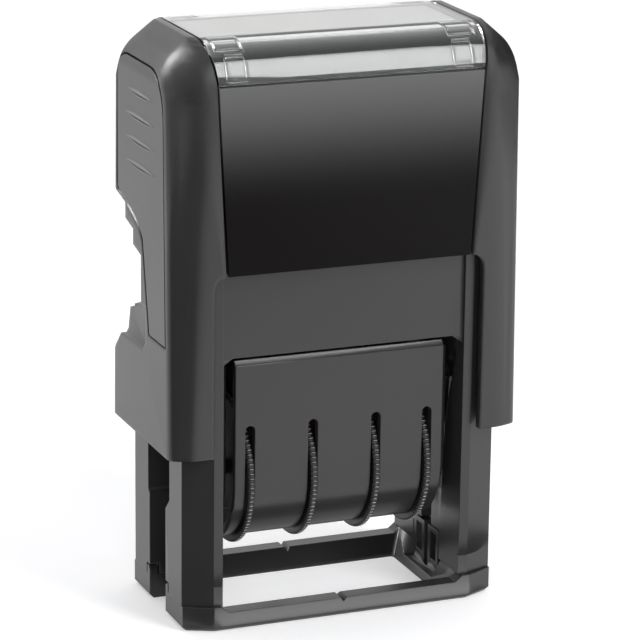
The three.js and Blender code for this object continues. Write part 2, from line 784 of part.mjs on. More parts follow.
function thumbWheel({ disc, drum }) {
  const rim = [];
  for (let corner = 0; corner < 2 * knurlTeeth; corner += 1) {
    const radius = wheelRadius - (corner % 2) * toothDepth;
    const angle = Math.PI * corner / knurlTeeth;
    rim.push([radius * Math.cos(angle), wheelHeight + radius * Math.sin(angle)]);
  }
  const half = wheelThickness / 2;
  const plate = runAlongX(polygon(rim), disc - half, disc + half);
  const towards = Math.sign(disc - drum[0] - drum[1] + disc);
  const ends = drum.map((end) => (Math.abs(Math.abs(end - disc) - half) < gap ? end + towards * half : end));
  const barrel = rodAlongX(drumRadius, ends[0], ends[1], 0, wheelHeight);
  const bore = rodAlongX(shaftRadius + runningGap,
    -coverHalfWidth, coverHalfWidth, 0, wheelHeight);
  return plate.add(barrel).subtract(bore);
}

// A loop round the drum and over the bridge, a distance outside its inner face
function bandLoop(offset) {
  const rise = bandTopCentre - wheelHeight;
  const lean = Math.asin((bandBottomRadius - bandTopRadius) / rise);
  const loop = new THREE.Path();
  loop.absarc(0, bandTopCentre, bandTopRadius + offset, lean, Math.PI - lean, false);
  loop.absarc(0, wheelHeight, bandBottomRadius + offset, Math.PI - lean, 2 * Math.PI + lean, false);
  loop.closePath();
  return loop;
}

function typeBand({ drum }) {
  const from = drum[0] + bandEdgeGap;
  const to = drum[1] - bandEdgeGap;
  const outline = new THREE.Shape(bandLoop(bandThickness).getPoints(curveSteps));
  outline.holes.push(new THREE.Path(bandLoop(0).getPoints(curveSteps)));
  const belt = runAlongX(outline, from, to);
  const loop = bandLoop(bandThickness);
  const start = quarterShare(loop);
  const blocks = [];
  for (let step = 0; step < typeCount; step += 1) {
    const along = (start + step / typeCount) % 1;
    const place = loop.getPointAt(along);
    const heading = loop.getTangentAt(along);
    const relief = new THREE.BoxGeometry(to - from, typeWidth, typeRoot + typeRelief);
    relief.translate(0, 0, (typeRelief - typeRoot) / 2);
    relief.rotateX(Math.atan2(-heading.y, -heading.x));
    blocks.push(solidOf(relief.translate((from + to) / 2, place.x, place.y)));
  }
  return joined([belt, ...blocks]);
}

// The share of a loop's length from its start to its highest point
function quarterShare(loop) {
  const rise = bandTopCentre - wheelHeight;
  const lean = Math.asin((bandBottomRadius - bandTopRadius) / rise);
  return (Math.PI / 2 - lean) * (bandTopRadius + bandThickness) / loop.getLength();
}

function wheelShaft() {
  return rodAlongX(shaftRadius, -endPlateOuter, endPlateOuter, 0, wheelHeight);
}

function axlePin(side) {
  return rodAlongX(pinRadius, side * (endPlateInner + gap), side * pinOuter, 0, axleHeight);
}

// Cap

function archedOpening(halfWidth, top) {
  const outline = new THREE.Shape();
  outline.moveTo(-halfWidth, capBottom - overrun);
  outline.lineTo(halfWidth, capBottom - overrun);
  outline.lineTo(halfWidth, top - openingCornerTall);
  outline.quadraticCurveTo(halfWidth, top, halfWidth - openingCornerWide, top);
  outline.lineTo(-halfWidth + openingCornerWide, top);
  outline.quadraticCurveTo(-halfWidth, top, -halfWidth, top - openingCornerTall);
  return outline;
}

function panelOutline(bottom, margin) {
  const top = windowBottom - gap;
  const bottomHalf = straightBetween(
    bottom, openingTop, windowBottom, panelBottomHalfWidth, panelTopHalfWidth);
  const drop = margin > 0 ? overrun : 0;
  return polygon([
    [-bottomHalf - margin, bottom - drop], [bottomHalf + margin, bottom - drop],
    [panelTopHalfWidth + margin, top + margin], [-panelTopHalfWidth - margin, top + margin],
  ]);
}

function windowOutline(margin) {
  const topHalf = topHalfWidth - windowRim;
  return polygon([
    [-windowBottomHalfWidth - margin, windowBottom - margin],
    [windowBottomHalfWidth + margin, windowBottom - margin],
    [topHalf + margin, height + overrun], [-topHalf - margin, height + overrun],
  ]);
}

// The stepped edge of a finger cut-out, drawn in (y, z)
function cutOutline() {
  const behind = capHalfDepth + overrun;
  const points = [[-cutFront, cutBottom], [-cutFront, cutBottom + cutFirstRise]];
  for (let step = 1; step <= cutSteps; step += 1) {
    const depth = -cutFront + step * cutStepDepth;
    const foot = cutBottom + cutFirstRise + step * cutStepSlope + (step - 1) * cutStepRise;
    points.push([depth, foot]);
    if (step < cutSteps) {
      points.push([depth, foot + cutStepRise]);
    }
  }
  const upper = points[points.length - 1][1];
  points.push([behind, upper + cutStepSlope], [behind, skirtShoulderHeight - overrun]);
  points.push([sideEdgeBottom, skirtShoulderHeight], [skirtShelfDepth + scoopDepth, skirtNeckHeight]);
  points.push([skirtShelfDepth, skirtShelfHeight]);
  return polygon(points);
}

function scoopOutline() {
  const behind = capHalfDepth + overrun;
  return polygon([
    [-scoopFront, cutBottom], [-scoopFront, scoopBottom + scoopCorner],
    [-scoopFront + scoopCorner, scoopBottom], [behind, scoopBottom], [behind, cutBottom],
  ]);
}

function plateOutline(margin) {
  const sideEdgeAt = (z) => straightBetween(z, capBottom, archHeight, sideEdgeBottom, sideEdgeArch);
  const frontLow = -sideEdgeAt(plateBottom) + plateFrontRim - margin;
  const frontHigh = -sideEdgeAt(archHeight) + plateFrontRim - margin;
  const rearHigh = sideEdgeAt(archHeight) - plateRearRim + margin;
  const top = plateTop + margin;
  const low = plateBottom - margin;
  const outline = new THREE.Shape();
  outline.moveTo(frontLow, low);
  outline.lineTo(-plateFootRear + margin, low);
  outline.lineTo(-plateNeckRear + margin, plateNeckHeight - margin);
  outline.quadraticCurveTo(-plateNeckRear + plateCorner / 2, plateTailHeight - plateCorner / 2 - margin,
    sideEdgeArch - plateCorner, plateTailHeight - margin);
  outline.lineTo(rearHigh, plateTailHeight + plateRearRise - margin);
  outline.lineTo(rearHigh, top - plateCorner);
  outline.quadraticCurveTo(rearHigh, top, rearHigh - plateCorner, top);
  outline.lineTo(frontHigh + plateFrontCorner, top);
  outline.quadraticCurveTo(frontHigh, top, frontHigh, top - plateFrontCorner);
  return outline;
}

function capShell() {
  const cavityLevels = [capBottom - overrun, cavityTop].map((z) => ({
    z, points: capOutline(Math.min(z, archHeight), capSideWall, capFaceWall, capFacetWall),
  }));
  const cavity = skinned(cavityLevels);
  const innerFace = capHalfDepth - capFaceWall - gap;
  const frontOpening = runAlongY(archedOpening(openingHalfWidth, openingTop),
    -capHalfDepth - overrun, -innerFace);
  const rearOpening = runAlongY(archedOpening(openingHalfWidth, rearOpeningTop),
    innerFace, capHalfDepth + overrun);
  const panelCore = capForm(labelThickness + gap);
  const plateCore = capForm(plateThickness + gap);
  const frontPocket = runAlongY(panelOutline(openingTop, gap), -capHalfDepth - overrun, 0)
    .subtract(panelCore);
  const rearPocket = runAlongY(panelOutline(rearLabelBottom, gap), 0, capHalfDepth + overrun)
    .subtract(panelCore);
  const windowPocket = runAlongY(windowOutline(gap), -capHalfDepth - overrun, capHalfDepth + overrun)
    .subtract(capForm(windowInset));
  const cardPocket = block([-cardHalfWidth - gap, cardHalfWidth + gap],
    [-cardHalfDepth - gap, cardHalfDepth + gap], [cardFloor, height]);
  const well = rodAlongZ(wellRadius, cavityTop - gap, wellTop);
  const crownPockets = [-1, 1].map((side) => block([side * crownPocketFrom, side * crownPocketTo],
    [-crownPocketHalfDepth, crownPocketHalfDepth], [cavityTop - gap, wellTop]));
  const openings = [cavity, frontOpening, rearOpening, well, ...crownPockets];
  let shell = cutBy(capOuter, [...openings, frontPocket, rearPocket, windowPocket, cardPocket]);
  for (const side of [-1, 1]) {
    const outward = side * (capHalfWidth + overrun);
    const sideCut = runAlongX(cutOutline(), side * windowHalfWidth, outward);
    const scoop = runAlongX(scoopOutline(), side * (capHalfWidth - scoopDepth), outward);
    const platePocket = runAlongX(plateOutline(gap), side * topHalfWidth, outward).subtract(plateCore);
    const boss = rodAlongX(bossRadius, side * (webOuter + gap), side * (capHalfWidth - capSideWall / 2),
      0, axleHeight);
    const bore = rodAlongX(pinRadius + runningGap, side * windowHalfWidth, side * (pinOuter + gap),
      0, axleHeight);
    shell = cutBy(cutBy(shell, [sideCut, scoop, platePocket]).add(boss), [bore]);
  }
  return shell;
}

function sidePlate(side) {
  const outward = side * (capHalfWidth + overrun);
  const plate = runAlongX(plateOutline(0), side * topHalfWidth, outward).intersect(capSkin(plateThickness));
  const ridges = [];
  for (let ridge = 0; ridge < ridgeCount; ridge += 1) {
    const low = ridgeHighest - ridge * ridgePitch;
    const outline = new THREE.Shape();
    outline.moveTo(-ridgeLength / 2, low + ridgeTilt);
    outline.quadraticCurveTo(0, low - ridgeWidth / 2, ridgeLength / 2, low);
    outline.quadraticCurveTo(0, low + ridgeWidth, -ridgeLength / 2, low + ridgeTilt);
    ridges.push(runAlongX(outline,
      side * (capHalfWidth - plateThickness / 2), side * (capHalfWidth + ridgeRelief)));
  }
  return joined([plate, ...ridges]);
}

function indexWindow() {
  return runAlongY(windowOutline(0), -capHalfDepth - overrun, capHalfDepth + overrun)
    .intersect(capSkin(windowThickness));
}

function indexCard() {
  return block([-cardHalfWidth, cardHalfWidth], [-cardHalfDepth, cardHalfDepth],
    [cardFloor, cardFloor + cardThickness]);
}

function frontPanel() {
  return runAlongY(panelOutline(openingTop, 0), -capHalfDepth - overrun, 0)
    .intersect(capSkin(labelThickness));
}

function rearPanel() {
  return runAlongY(panelOutline(rearLabelBottom, 0), 0, capHalfDepth + overrun)
    .intersect(capSkin(labelThickness));
}

// One unbroken coil of wire from the roof to the cap's ceiling
class CoilPath extends THREE.Curve {
  getPoint(share, target = new THREE.Vector3()) {
    const low = frameTop + springWire + runningGap;
    const high = wellTop - springWire - runningGap;
    const angle = share * springTurns * 2 * Math.PI;
    const rise = low + (high - low) * share;
    return target.set(springRadius * Math.cos(angle), springRadius * Math.sin(angle), rise);
  }
}

function returnSpring() {
  const section = new THREE.Shape();
  section.absarc(0, 0, springWire, 0, 2 * Math.PI, false);
  const coil = new THREE.ExtrudeGeometry(section, {
    steps: springTurns * springStepsPerTurn, curveSegments: springSides / 2, bevelEnabled: false,
    extrudePath: new CoilPath(),
  });
  return solidOf(coil);
}

// Materials

function finish(color, roughness, metalness) {
  return new THREE.MeshStandardMaterial({ color, roughness, metalness });
}

const anthracitePlastic = finish(0x3b3b3c, 0.55, 0);
const darkPlastic = finish(0x2a2a2b, 0.6, 0);
const glossPanel = finish(0x232122, 0.15, 0);
const clearPlastic = finish(0xd6d8d8, 0.08, 0);
const whiteCard = finish(0xd9d7d3, 0.85, 0);
const bandRubber = finish(0x8a3d33, 0.8, 0);
const springSteel = finish(0xb9babc, 0.3, 1);
const pinSteel = finish(0xc2c3c5, 0.35, 1);
const inkFoam = finish(0x1a1c2b, 0.95, 0);

// Assembly

const group = new THREE.Group();
group.name = "date_stamp";

function place(name, solid, material) {
  const mesh = new THREE.Mesh(geometryOf(solid), material.clone());
  mesh.name = name;
  group.add(mesh);
}

place("foot_ring", footRing(), anthracitePlastic);
place("frame", frameBody(), anthracitePlastic);
place("ink_cartridge", inkCartridge(), darkPlastic);
place("ink_pad", inkPad(), inkFoam);
place("cap_shell", capShell(), anthracitePlastic);
place("side_plate_left", sidePlate(-1), anthracitePlastic);
place("side_plate_right", sidePlate(1), anthracitePlastic);
place("front_panel", frontPanel(), glossPanel);
place("rear_panel", rearPanel(), glossPanel);
place("index_window", indexWindow(), clearPlastic);
place("index_card", indexCard(), whiteCard);
place("return_spring", returnSpring(), springSteel);
place("type_carrier", typeCarrier(), darkPlastic);
place("date_cover", dateCover(), anthracitePlastic);
place("wheel_shaft", wheelShaft(), pinSteel);
place("axle_pin_left", axlePin(-1), pinSteel);
place("axle_pin_right", axlePin(1), pinSteel);
for (const wheel of wheelPlaces()) {
  place(`thumb_wheel_${wheel.name}`, thumbWheel(wheel), darkPlastic);
  place(`type_band_${wheel.name}`, typeBand(wheel), bandRubber);
}

export default group;
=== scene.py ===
"""Looks of a self-inking date stamp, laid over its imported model: plastic, clear window, card, wheels and bands."""
import math

import bmesh
import bpy
import numpy as np
from bpy.props import FloatProperty, FloatVectorProperty, IntProperty, PointerProperty
from mathutils import Matrix, Vector


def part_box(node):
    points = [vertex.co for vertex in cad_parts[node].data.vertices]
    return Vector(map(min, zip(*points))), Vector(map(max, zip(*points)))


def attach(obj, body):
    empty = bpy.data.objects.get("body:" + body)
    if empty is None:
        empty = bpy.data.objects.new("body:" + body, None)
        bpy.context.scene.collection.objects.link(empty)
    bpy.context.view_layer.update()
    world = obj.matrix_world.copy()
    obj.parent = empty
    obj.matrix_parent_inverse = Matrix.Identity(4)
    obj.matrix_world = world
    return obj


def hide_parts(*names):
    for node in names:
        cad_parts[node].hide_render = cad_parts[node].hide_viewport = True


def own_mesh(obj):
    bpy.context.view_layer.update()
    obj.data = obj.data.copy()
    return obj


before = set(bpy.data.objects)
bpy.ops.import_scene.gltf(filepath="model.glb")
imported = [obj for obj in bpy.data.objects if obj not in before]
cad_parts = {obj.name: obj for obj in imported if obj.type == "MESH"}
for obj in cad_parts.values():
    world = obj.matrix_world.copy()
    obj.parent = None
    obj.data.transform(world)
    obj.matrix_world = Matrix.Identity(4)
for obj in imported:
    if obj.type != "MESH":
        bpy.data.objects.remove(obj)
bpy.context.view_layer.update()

bl_info = {
    "name": "Date Stamp",
    "version": (1, 0, 0),
    "blender": (4, 5, 0),
    "location": "3D View > Sidebar > Stamp",
    "description": "Builds the looks of a self-inking date stamp over its CAD frame",
    "category": "Add Mesh",
}

MM = 0.001
WHEELS = ("day_tens", "day_units", "month", "year")

# Angles in degrees, above which an edge is left sharp
MOULDED_ANGLE = 14
SHOULDER_ANGLE = 16
ROUND_ANGLE = 32
TOOTH_ANGLE = 40
SHEET_ANGLE = 50

# How close two points are merged, and how much larger faces lead the shading
DOUBLES = 0.001 * MM
CAD_DOUBLES = 0.002 * MM
SHADING_WEIGHT = 100


# Numbers of the frame, read from its nodes, and the few that give the cap's curves

def corners_of(node):
    """Lowest and highest corner of a CAD node, in metres, as arrays."""
    return tuple(np.array(corner, float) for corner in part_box(node))


CAP_HALF_WIDTH, CAP_HALF_DEPTH, HEIGHT = corners_of("cap_shell")[1]
SHOULDER_RADIUS = 6 * MM
CROWN_INSET = 4.9 * MM
TOP_HALF_DEPTH = CAP_HALF_DEPTH - SHOULDER_RADIUS
SHOULDER_HEIGHT = HEIGHT - SHOULDER_RADIUS
ARCH_RADIUS = 4.8 * MM
SLANT = math.radians(36.7)
FULL_INSET = 4.5 * MM
FULL_RADIUS = 5.4 * MM
FULL_SLANT = math.radians(48)
WHEEL_LOW, WHEEL_HIGH = corners_of("thumb_wheel_month")
WHEEL_RADIUS = (WHEEL_HIGH - WHEEL_LOW)[2] / 2
WHEEL_HEIGHT = (WHEEL_HIGH + WHEEL_LOW)[2] / 2
SHAFT_LOW, SHAFT_HIGH = corners_of("wheel_shaft")
SHAFT_RADIUS = (SHAFT_HIGH - SHAFT_LOW)[2] / 2
WINDOW_LOW, WINDOW_HIGH = corners_of("index_window")
CARD_LOW, CARD_HIGH = corners_of("index_card")
PAD_LOW, PAD_HIGH = corners_of("ink_pad")
SPRING_LOW, SPRING_HIGH = corners_of("return_spring")


def arch_start(inset, radius, slant):
    """Height at which an upright side turns into the arc that leads to its slant."""
    left = inset - radius * (1 - math.cos(slant))
    return HEIGHT - left / math.tan(slant) - radius * math.sin(slant)


ARCH_HEIGHT = arch_start(CROWN_INSET, ARCH_RADIUS, SLANT)


def linear(code):
    """The linear colour of an sRGB hex code such as #3b3b3c, with full alpha."""
    parts = [int(code[start:start + 2], 16) / 255 for start in (1, 3, 5)]
    return tuple(c / 12.92 if c <= 0.04045 else ((c + 0.055) / 1.055) ** 2.4 for c in parts) + (1.0,)


# Sizes and colours that a user would change, and what each kind of them shares

LENGTH = {"unit": "LENGTH", "precision": 5}
COLOUR = {"subtype": "COLOR", "size": 4, "min": 0, "max": 1}


class StampShape(bpy.types.PropertyGroup):
    """Sizes of the finishing detail."""

    edge: FloatProperty(
        name="Edge radius", description="Radius that the moulded edges show",
        default=0.2 * MM, min=0.02 * MM, max=0.6 * MM, **LENGTH)
    corner: FloatProperty(
        name="Cap corner radius", description="Radius that the cap's outer edges show",
        default=0.7 * MM, min=0.02 * MM, max=1.2 * MM, **LENGTH)
    fullness: FloatProperty(
        name="Shoulder fullness", description="How far the cap's shoulders are filled out to their round form",
        default=1.0, min=0.0, max=1.0, subtype="FACTOR")
    shoulder: FloatProperty(
        name="Cap shoulder radius", description="Radius that the cap's corners grow to at its shoulders",
        default=4.8 * MM, min=0.1 * MM, max=6 * MM, **LENGTH)
    ridge: FloatProperty(
        name="Grip ridge", description="How far the grip ridges stand out of the side plates",
        default=0.24 * MM, min=0.0, max=0.5 * MM, **LENGTH)
    teeth: IntProperty(
        name="Wheel teeth", description="Teeth round each thumb wheel", default=100, min=24, max=160)
    tooth: FloatProperty(
        name="Tooth depth", description="Depth of the teeth round each thumb wheel",
        default=0.3 * MM, min=0.0, max=0.6 * MM, **LENGTH)
    clip: FloatProperty(
        name="Window clip", description="Height of the moulded clip frames inside the window",
        default=0.2 * MM, min=0.0, max=0.25 * MM, **LENGTH)
    turns: IntProperty(name="Spring turns", description="Turns of the return spring", default=5, min=3, max=8)


class StampColours(bpy.types.PropertyGroup):
    """Colours of the finishes."""

    body: FloatVectorProperty(
        name="Housing", description="Anthracite plastic of the cap, frame and foot",
        default=linear("#2a2a2b"), **COLOUR)
    inner: FloatVectorProperty(
        name="Inner parts", description="Darker plastic of the wheels, carrier and cartridge",
        default=linear("#1d1d1e"), **COLOUR)
    panel: FloatVectorProperty(
        name="Panel", description="Dark end of the glossy panels",
        default=linear("#121011"), **COLOUR)
    # Painted reflection: the panels' light end stands in for the reflection at their top
    panel_reflection: FloatVectorProperty(
        name="Panel top", description="Light end of the glossy panels",
        default=linear("#666666"), **COLOUR)
    card: FloatVectorProperty(
        name="Card", description="Index card under the window",
        default=linear("#c9c7c3"), **COLOUR)
    band: FloatVectorProperty(
        name="Bands", description="Rubber of the type bands",
        default=linear("#3a2220"), **COLOUR)


# Meshes from arrays

def new_piece(name, vertices, faces, body, material, replaced):
    """A mesh object of an array of points and their faces, riding on a body and standing for CAD nodes."""
    mesh = bpy.data.meshes.new(name)
    mesh.from_pydata(vertices.reshape(-1, 3).tolist(), [], [tuple(f) for f in faces])
    mesh.validate()
    return dress(mesh, body, material, replaced)


def linked(name, data):
    """An object of a mesh, lamp or camera, linked to the scene."""
    made = bpy.data.objects.new(name, data)
    bpy.context.scene.collection.objects.link(made)
    return made


def dress(mesh, body, material, replaced):
    """An object of a mesh in its material, which rides on its body and stands for its CAD nodes."""
    mesh.materials.append(material)
    piece = linked(mesh.name, mesh)
    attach(piece, body)
    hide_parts(*replaced)
    return piece


def grid_faces(rows, columns, wrap_rows=False, wrap_columns=False):
    """Quads of a grid whose point (i, j) has the number i * columns + j, closed round either way if asked."""
    i = np.arange(rows if wrap_rows else rows - 1)
    j = np.arange(columns if wrap_columns else columns - 1)
    i, j = (a.ravel() for a in np.meshgrid(i, j, indexing="ij"))
    below, right = (i + 1) % rows, (j + 1) % columns
    return np.stack([i * columns + j, i * columns + right, below * columns + right, below * columns + j], 1)


def sheet_faces(rows, columns):
    """Quads of a closed sheet: an outer grid, an inner grid numbered after it, and the rim between their borders."""
    outer = grid_faces(rows, columns)
    inner = outer[:, ::-1] + rows * columns
    number = np.arange(rows * columns).reshape(rows, columns)
    ring = np.concatenate([number[0, :-1], number[:-1, -1], number[-1, :0:-1], number[:0:-1, 0]])
    after = np.roll(ring, -1)
    rim = np.stack([ring, ring + rows * columns, after + rows * columns, after], 1)
    return np.concatenate([outer, inner, rim])


def new_sheet(name, outer, inner, body, slot, material, replaced, edge):
    """A sheet between two grids of points, with the sharp edges of its rim rounded."""
    rows, columns, _ = outer.shape
    points = np.concatenate([outer, inner])
    piece = new_piece(name, points, sheet_faces(rows, columns), body, material, replaced)
    facing_out(piece)
    bevel = piece.modifiers.new("edges", "BEVEL")
    bevel.width, bevel.segments = edge, 3
    bevel.limit_method, bevel.angle_limit = "ANGLE", math.radians(SHEET_ANGLE)
    return crisp(piece, SHEET_ANGLE)


def facing_out(piece):
    """Merges doubles of a finished mesh and turns all its faces outwards."""
    shape = bmesh.new()
    shape.from_mesh(piece.data)
    bmesh.ops.remove_doubles(shape, verts=shape.verts, dist=DOUBLES)
    bmesh.ops.recalc_face_normals(shape, faces=shape.faces)
    shape.to_mesh(piece.data)
    shape.free()
    return piece


def crisp(piece, angle):
    """Shades curved stretches smooth, keeps flats flat, and leaves edges sharper than an angle to the material."""
    piece.data.polygons.foreach_set("use_smooth", np.full(len(piece.data.polygons), True))
    piece.data.set_sharp_from_angle(angle=math.radians(angle))
    weighted = piece.modifiers.new("shading", "WEIGHTED_NORMAL")
    weighted.keep_sharp = True
    weighted.weight = SHADING_WEIGHT
    return piece


def refined(node, body, material, angle=MOULDED_ANGLE):
    """A CAD node's own solid, merged into one skin and shaded as a moulding, smooth over turns below an angle."""
    shape = bmesh.new()
    shape.from_mesh(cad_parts[node].data)
    bmesh.ops.remove_doubles(shape, verts=shape.verts, dist=CAD_DOUBLES)
    mesh = bpy.data.meshes.new(node + "_moulding")
    shape.to_mesh(mesh)
    shape.free()
    return crisp(dress(mesh, body, material, (node,)), angle)


def read(items, name, width=1):
    """One property of a mesh's points, faces or corners as an array with a row for each."""
    values = np.empty(len(items) * width, np.int32 if width == 1 else np.float32)
    items.foreach_get(name, values)
    return values.reshape(-1, width) if width > 1 else values


def mark_painted_highlight(piece, domain, amount):
    """Keeps how much painted highlight each point or corner gets, for the material to read."""
    piece.data.attributes.new("painted_highlight", "FLOAT", domain).data.foreach_set("value", amount.astype(np.float32))


# Materials

GRAIN = 0.32 * MM
GRAIN_DEPTH = 0.005 * MM
EDGE_GROWTH = (50 * MM, 77 * MM)
# The next two: how much paler the painted highlights are, on edges and on marked ridges and bevels
EDGE_HIGHLIGHT_SHADE = 1.9
PAINTED_HIGHLIGHT_SHADE = 8.0
# Depths below the wheels' rim over which their painted highlight fades in
TIP_DEPTH = (0.1 * MM, 0.02 * MM)
# Heights over which the panels' painted reflection fades in
FADE = (60 * MM, 84 * MM)
WHITE = (1.0, 1.0, 1.0, 1.0)


def add(tree, kind, settings=None, inputs=None):
    """Adds a node with its settings, and gives each named input its value or the socket that feeds it."""
    made = tree.nodes.new(kind)
    for name, value in (settings or {}).items():
        setattr(made, name, value)
    for socket, value in (inputs or {}).items():
        if isinstance(value, bpy.types.NodeSocket):
            tree.links.new(value, made.inputs[socket])
        else:
            made.inputs[socket].default_value = value
    return made


def blank_material(name):
    """A node material with nothing in it yet, and its tree."""
    material = bpy.data.materials.new(name)
    material.use_nodes = True
    material.node_tree.nodes.clear()
    return material, material.node_tree


def shade(colour, factor):
    """A colour made lighter or darker by a factor, with its alpha kept."""
    return tuple(min(1.0, part * factor) for part in tuple(colour)[:3]) + (1.0,)


def soft_edges(tree, place, radius, high_radius):
    """The surface's normal, turned over each edge in a radius that may grow from the waist to the shoulder."""
    if high_radius > radius:
        height = add(tree, "ShaderNodeSeparateXYZ", None, {"Vector": place}).outputs["Z"]
        radius = add(tree, "ShaderNodeMapRange", {"interpolation_type": "SMOOTHSTEP"}, {
            "Value": height, "From Min": EDGE_GROWTH[0], "From Max": EDGE_GROWTH[1],
            "To Min": radius, "To Max": high_radius}).outputs["Result"]
    return add(tree, "ShaderNodeBevel", {"samples": 8}, {"Radius": radius}).outputs["Normal"]


def painted_edge_highlight(tree, edged):
    """How far the softened normal leans from the flat one: 0 on flats, rising to 1 on the edges, where a highlight is
    painted.
    """
    flat = add(tree, "ShaderNodeNewGeometry").outputs["True Normal"]
    along = add(tree, "ShaderNodeVectorMath", {"operation": "DOT_PRODUCT"}, {0: edged, 1: flat}).outputs["Value"]
    return add(tree, "ShaderNodeMapRange", None, {
        "Value": along, "From Min": 0.985, "From Max": 0.8}).outputs["Result"]


def moulded_plastic(name, colour, edge, high_edge=0.0, roughness=0.29):
    """ABS from a spark-eroded tool: fine grain softens the gloss, flow clouds vary it, and a highlight is painted
    paler along its edges and on marked places.
    """
    material, tree = blank_material(name)
    place = add(tree, "ShaderNodeTexCoord").outputs["Object"]
    edged = soft_edges(tree, place, edge, high_edge)
    clouds = add(tree, "ShaderNodeTexNoise", None, {
        "Vector": place, "Scale": 1 / (11 * MM), "Detail": 2.0, "Roughness": 0.5}).outputs["Fac"]
    grains = add(tree, "ShaderNodeTexNoise", None, {
        "Vector": place, "Scale": 1 / GRAIN, "Detail": 2.0, "Roughness": 0.6}).outputs["Fac"]
    flow = add(tree, "ShaderNodeMix", {"data_type": "RGBA"}, {
        0: clouds, 6: shade(colour, 0.93), 7: shade(colour, 1.08)}).outputs[2]
    # Painted highlight: edges are tinted paler, as if they caught the light
    tint = flow if high_edge else add(tree, "ShaderNodeMix", {"data_type": "RGBA"}, {
        0: painted_edge_highlight(tree, edged), 6: flow, 7: shade(colour, EDGE_HIGHLIGHT_SHADE)}).outputs[2]
    # Painted highlight: the marked ridges and bevels are tinted paler, light painted into the colour
    painted_highlight = add(tree, "ShaderNodeAttribute", {"attribute_name": "painted_highlight"}).outputs["Fac"]
    tint = add(tree, "ShaderNodeMix", {"data_type": "RGBA"}, {
        0: painted_highlight, 6: tint, 7: shade(colour, PAINTED_HIGHLIGHT_SHADE)}).outputs[2]
    gloss = add(tree, "ShaderNodeMapRange", None, {
        "Value": clouds, "To Min": roughness - 0.03, "To Max": roughness + 0.04}).outputs["Result"]
    bump = add(tree, "ShaderNodeBump", None, {
        "Height": grains, "Strength": 0.6, "Distance": GRAIN_DEPTH, "Normal": edged}).outputs["Normal"]
    shader = add(tree, "ShaderNodeBsdfPrincipled", None, {
        "Base Color": tint, "Roughness": gloss, "Normal": bump, "IOR": 1.53}).outputs["BSDF"]
    add(tree, "ShaderNodeOutputMaterial", None, {"Surface": shader})
    return material


def gloss_film(name, dark, light, low, high):
    """Polycarbonate film, anti-reflex coated: a painted reflection fades its colour upwards from near black to grey.
    """
    material, tree = blank_material(name)
    place = add(tree, "ShaderNodeTexCoord").outputs["Object"]
    height = add(tree, "ShaderNodeSeparateXYZ", None, {"Vector": place}).outputs["Z"]
    share = add(tree, "ShaderNodeMapRange", {"interpolation_type": "SMOOTHERSTEP"}, {
        "Value": height, "From Min": low, "From Max": high}).outputs["Result"]
    waves = add(tree, "ShaderNodeTexNoise", None, {
        "Vector": place, "Scale": 1 / (14 * MM), "Detail": 1.0}).outputs["Fac"]
    # Painted reflection: the dark panel colour fades to the light one towards the top
    panel_and_painted_reflection = add(tree, "ShaderNodeMix", {"data_type": "RGBA"}, {
        0: share, 6: tuple(dark), 7: tuple(light)}).outputs[2]
    bump = add(tree, "ShaderNodeBump", None, {
        "Height": waves, "Strength": 0.15, "Distance": 0.02 * MM}).outputs["Normal"]
    shader = add(tree, "ShaderNodeBsdfPrincipled", None, {
        "Base Color": panel_and_painted_reflection, "Roughness": 0.2, "Normal": bump, "IOR": 1.58,
        "Specular IOR Level": 0.06}).outputs["BSDF"]
    add(tree, "ShaderNodeOutputMaterial", None, {"Surface": shader})
    return material


def clear_acrylic(name):
    """Polished clear acrylic: sharp reflections, a refracting rim and a trace of grey from its thickness."""
    material, tree = blank_material(name)
    place = add(tree, "ShaderNodeTexCoord").outputs["Object"]
    swirl = add(tree, "ShaderNodeTexNoise", None, {
        "Vector": place, "Scale": 1 / (8 * MM), "Detail": 1.0}).outputs["Fac"]
    bump = add(tree, "ShaderNodeBump", None, {
        "Height": swirl, "Strength": 0.1, "Distance": 0.03 * MM}).outputs["Normal"]
    shader = add(tree, "ShaderNodeBsdfPrincipled", None, {
        "Base Color": linear("#eef0f0"), "Roughness": 0.03, "IOR": 1.49,
        "Transmission Weight": 1.0, "Normal": bump}).outputs["BSDF"]
    add(tree, "ShaderNodeOutputMaterial", None, {"Surface": shader})
    return material


def card_stock(name, colour):
    """Uncoated card: matt off-white with short fibres."""
    material, tree = blank_material(name)
    place = add(tree, "ShaderNodeTexCoord").outputs["Object"]
    fibres = add(tree, "ShaderNodeTexNoise", None, {
        "Vector": place, "Scale": 1 / (0.5 * MM), "Detail": 4.0, "Distortion": 0.8}).outputs["Fac"]
    tint = add(tree, "ShaderNodeMix", {"data_type": "RGBA"}, {
        0: fibres, 6: shade(colour, 0.96), 7: shade(colour, 1.03)}).outputs[2]
    bump = add(tree, "ShaderNodeBump", None, {
        "Height": fibres, "Strength": 0.4, "Distance": 0.015 * MM}).outputs["Normal"]
    shader = add(tree, "ShaderNodeBsdfPrincipled", None, {
        "Base Color": tint, "Roughness": 0.85, "Normal": bump, "IOR": 1.45}).outputs["BSDF"]
    add(tree, "ShaderNodeOutputMaterial", None, {"Surface": shader})
    return material


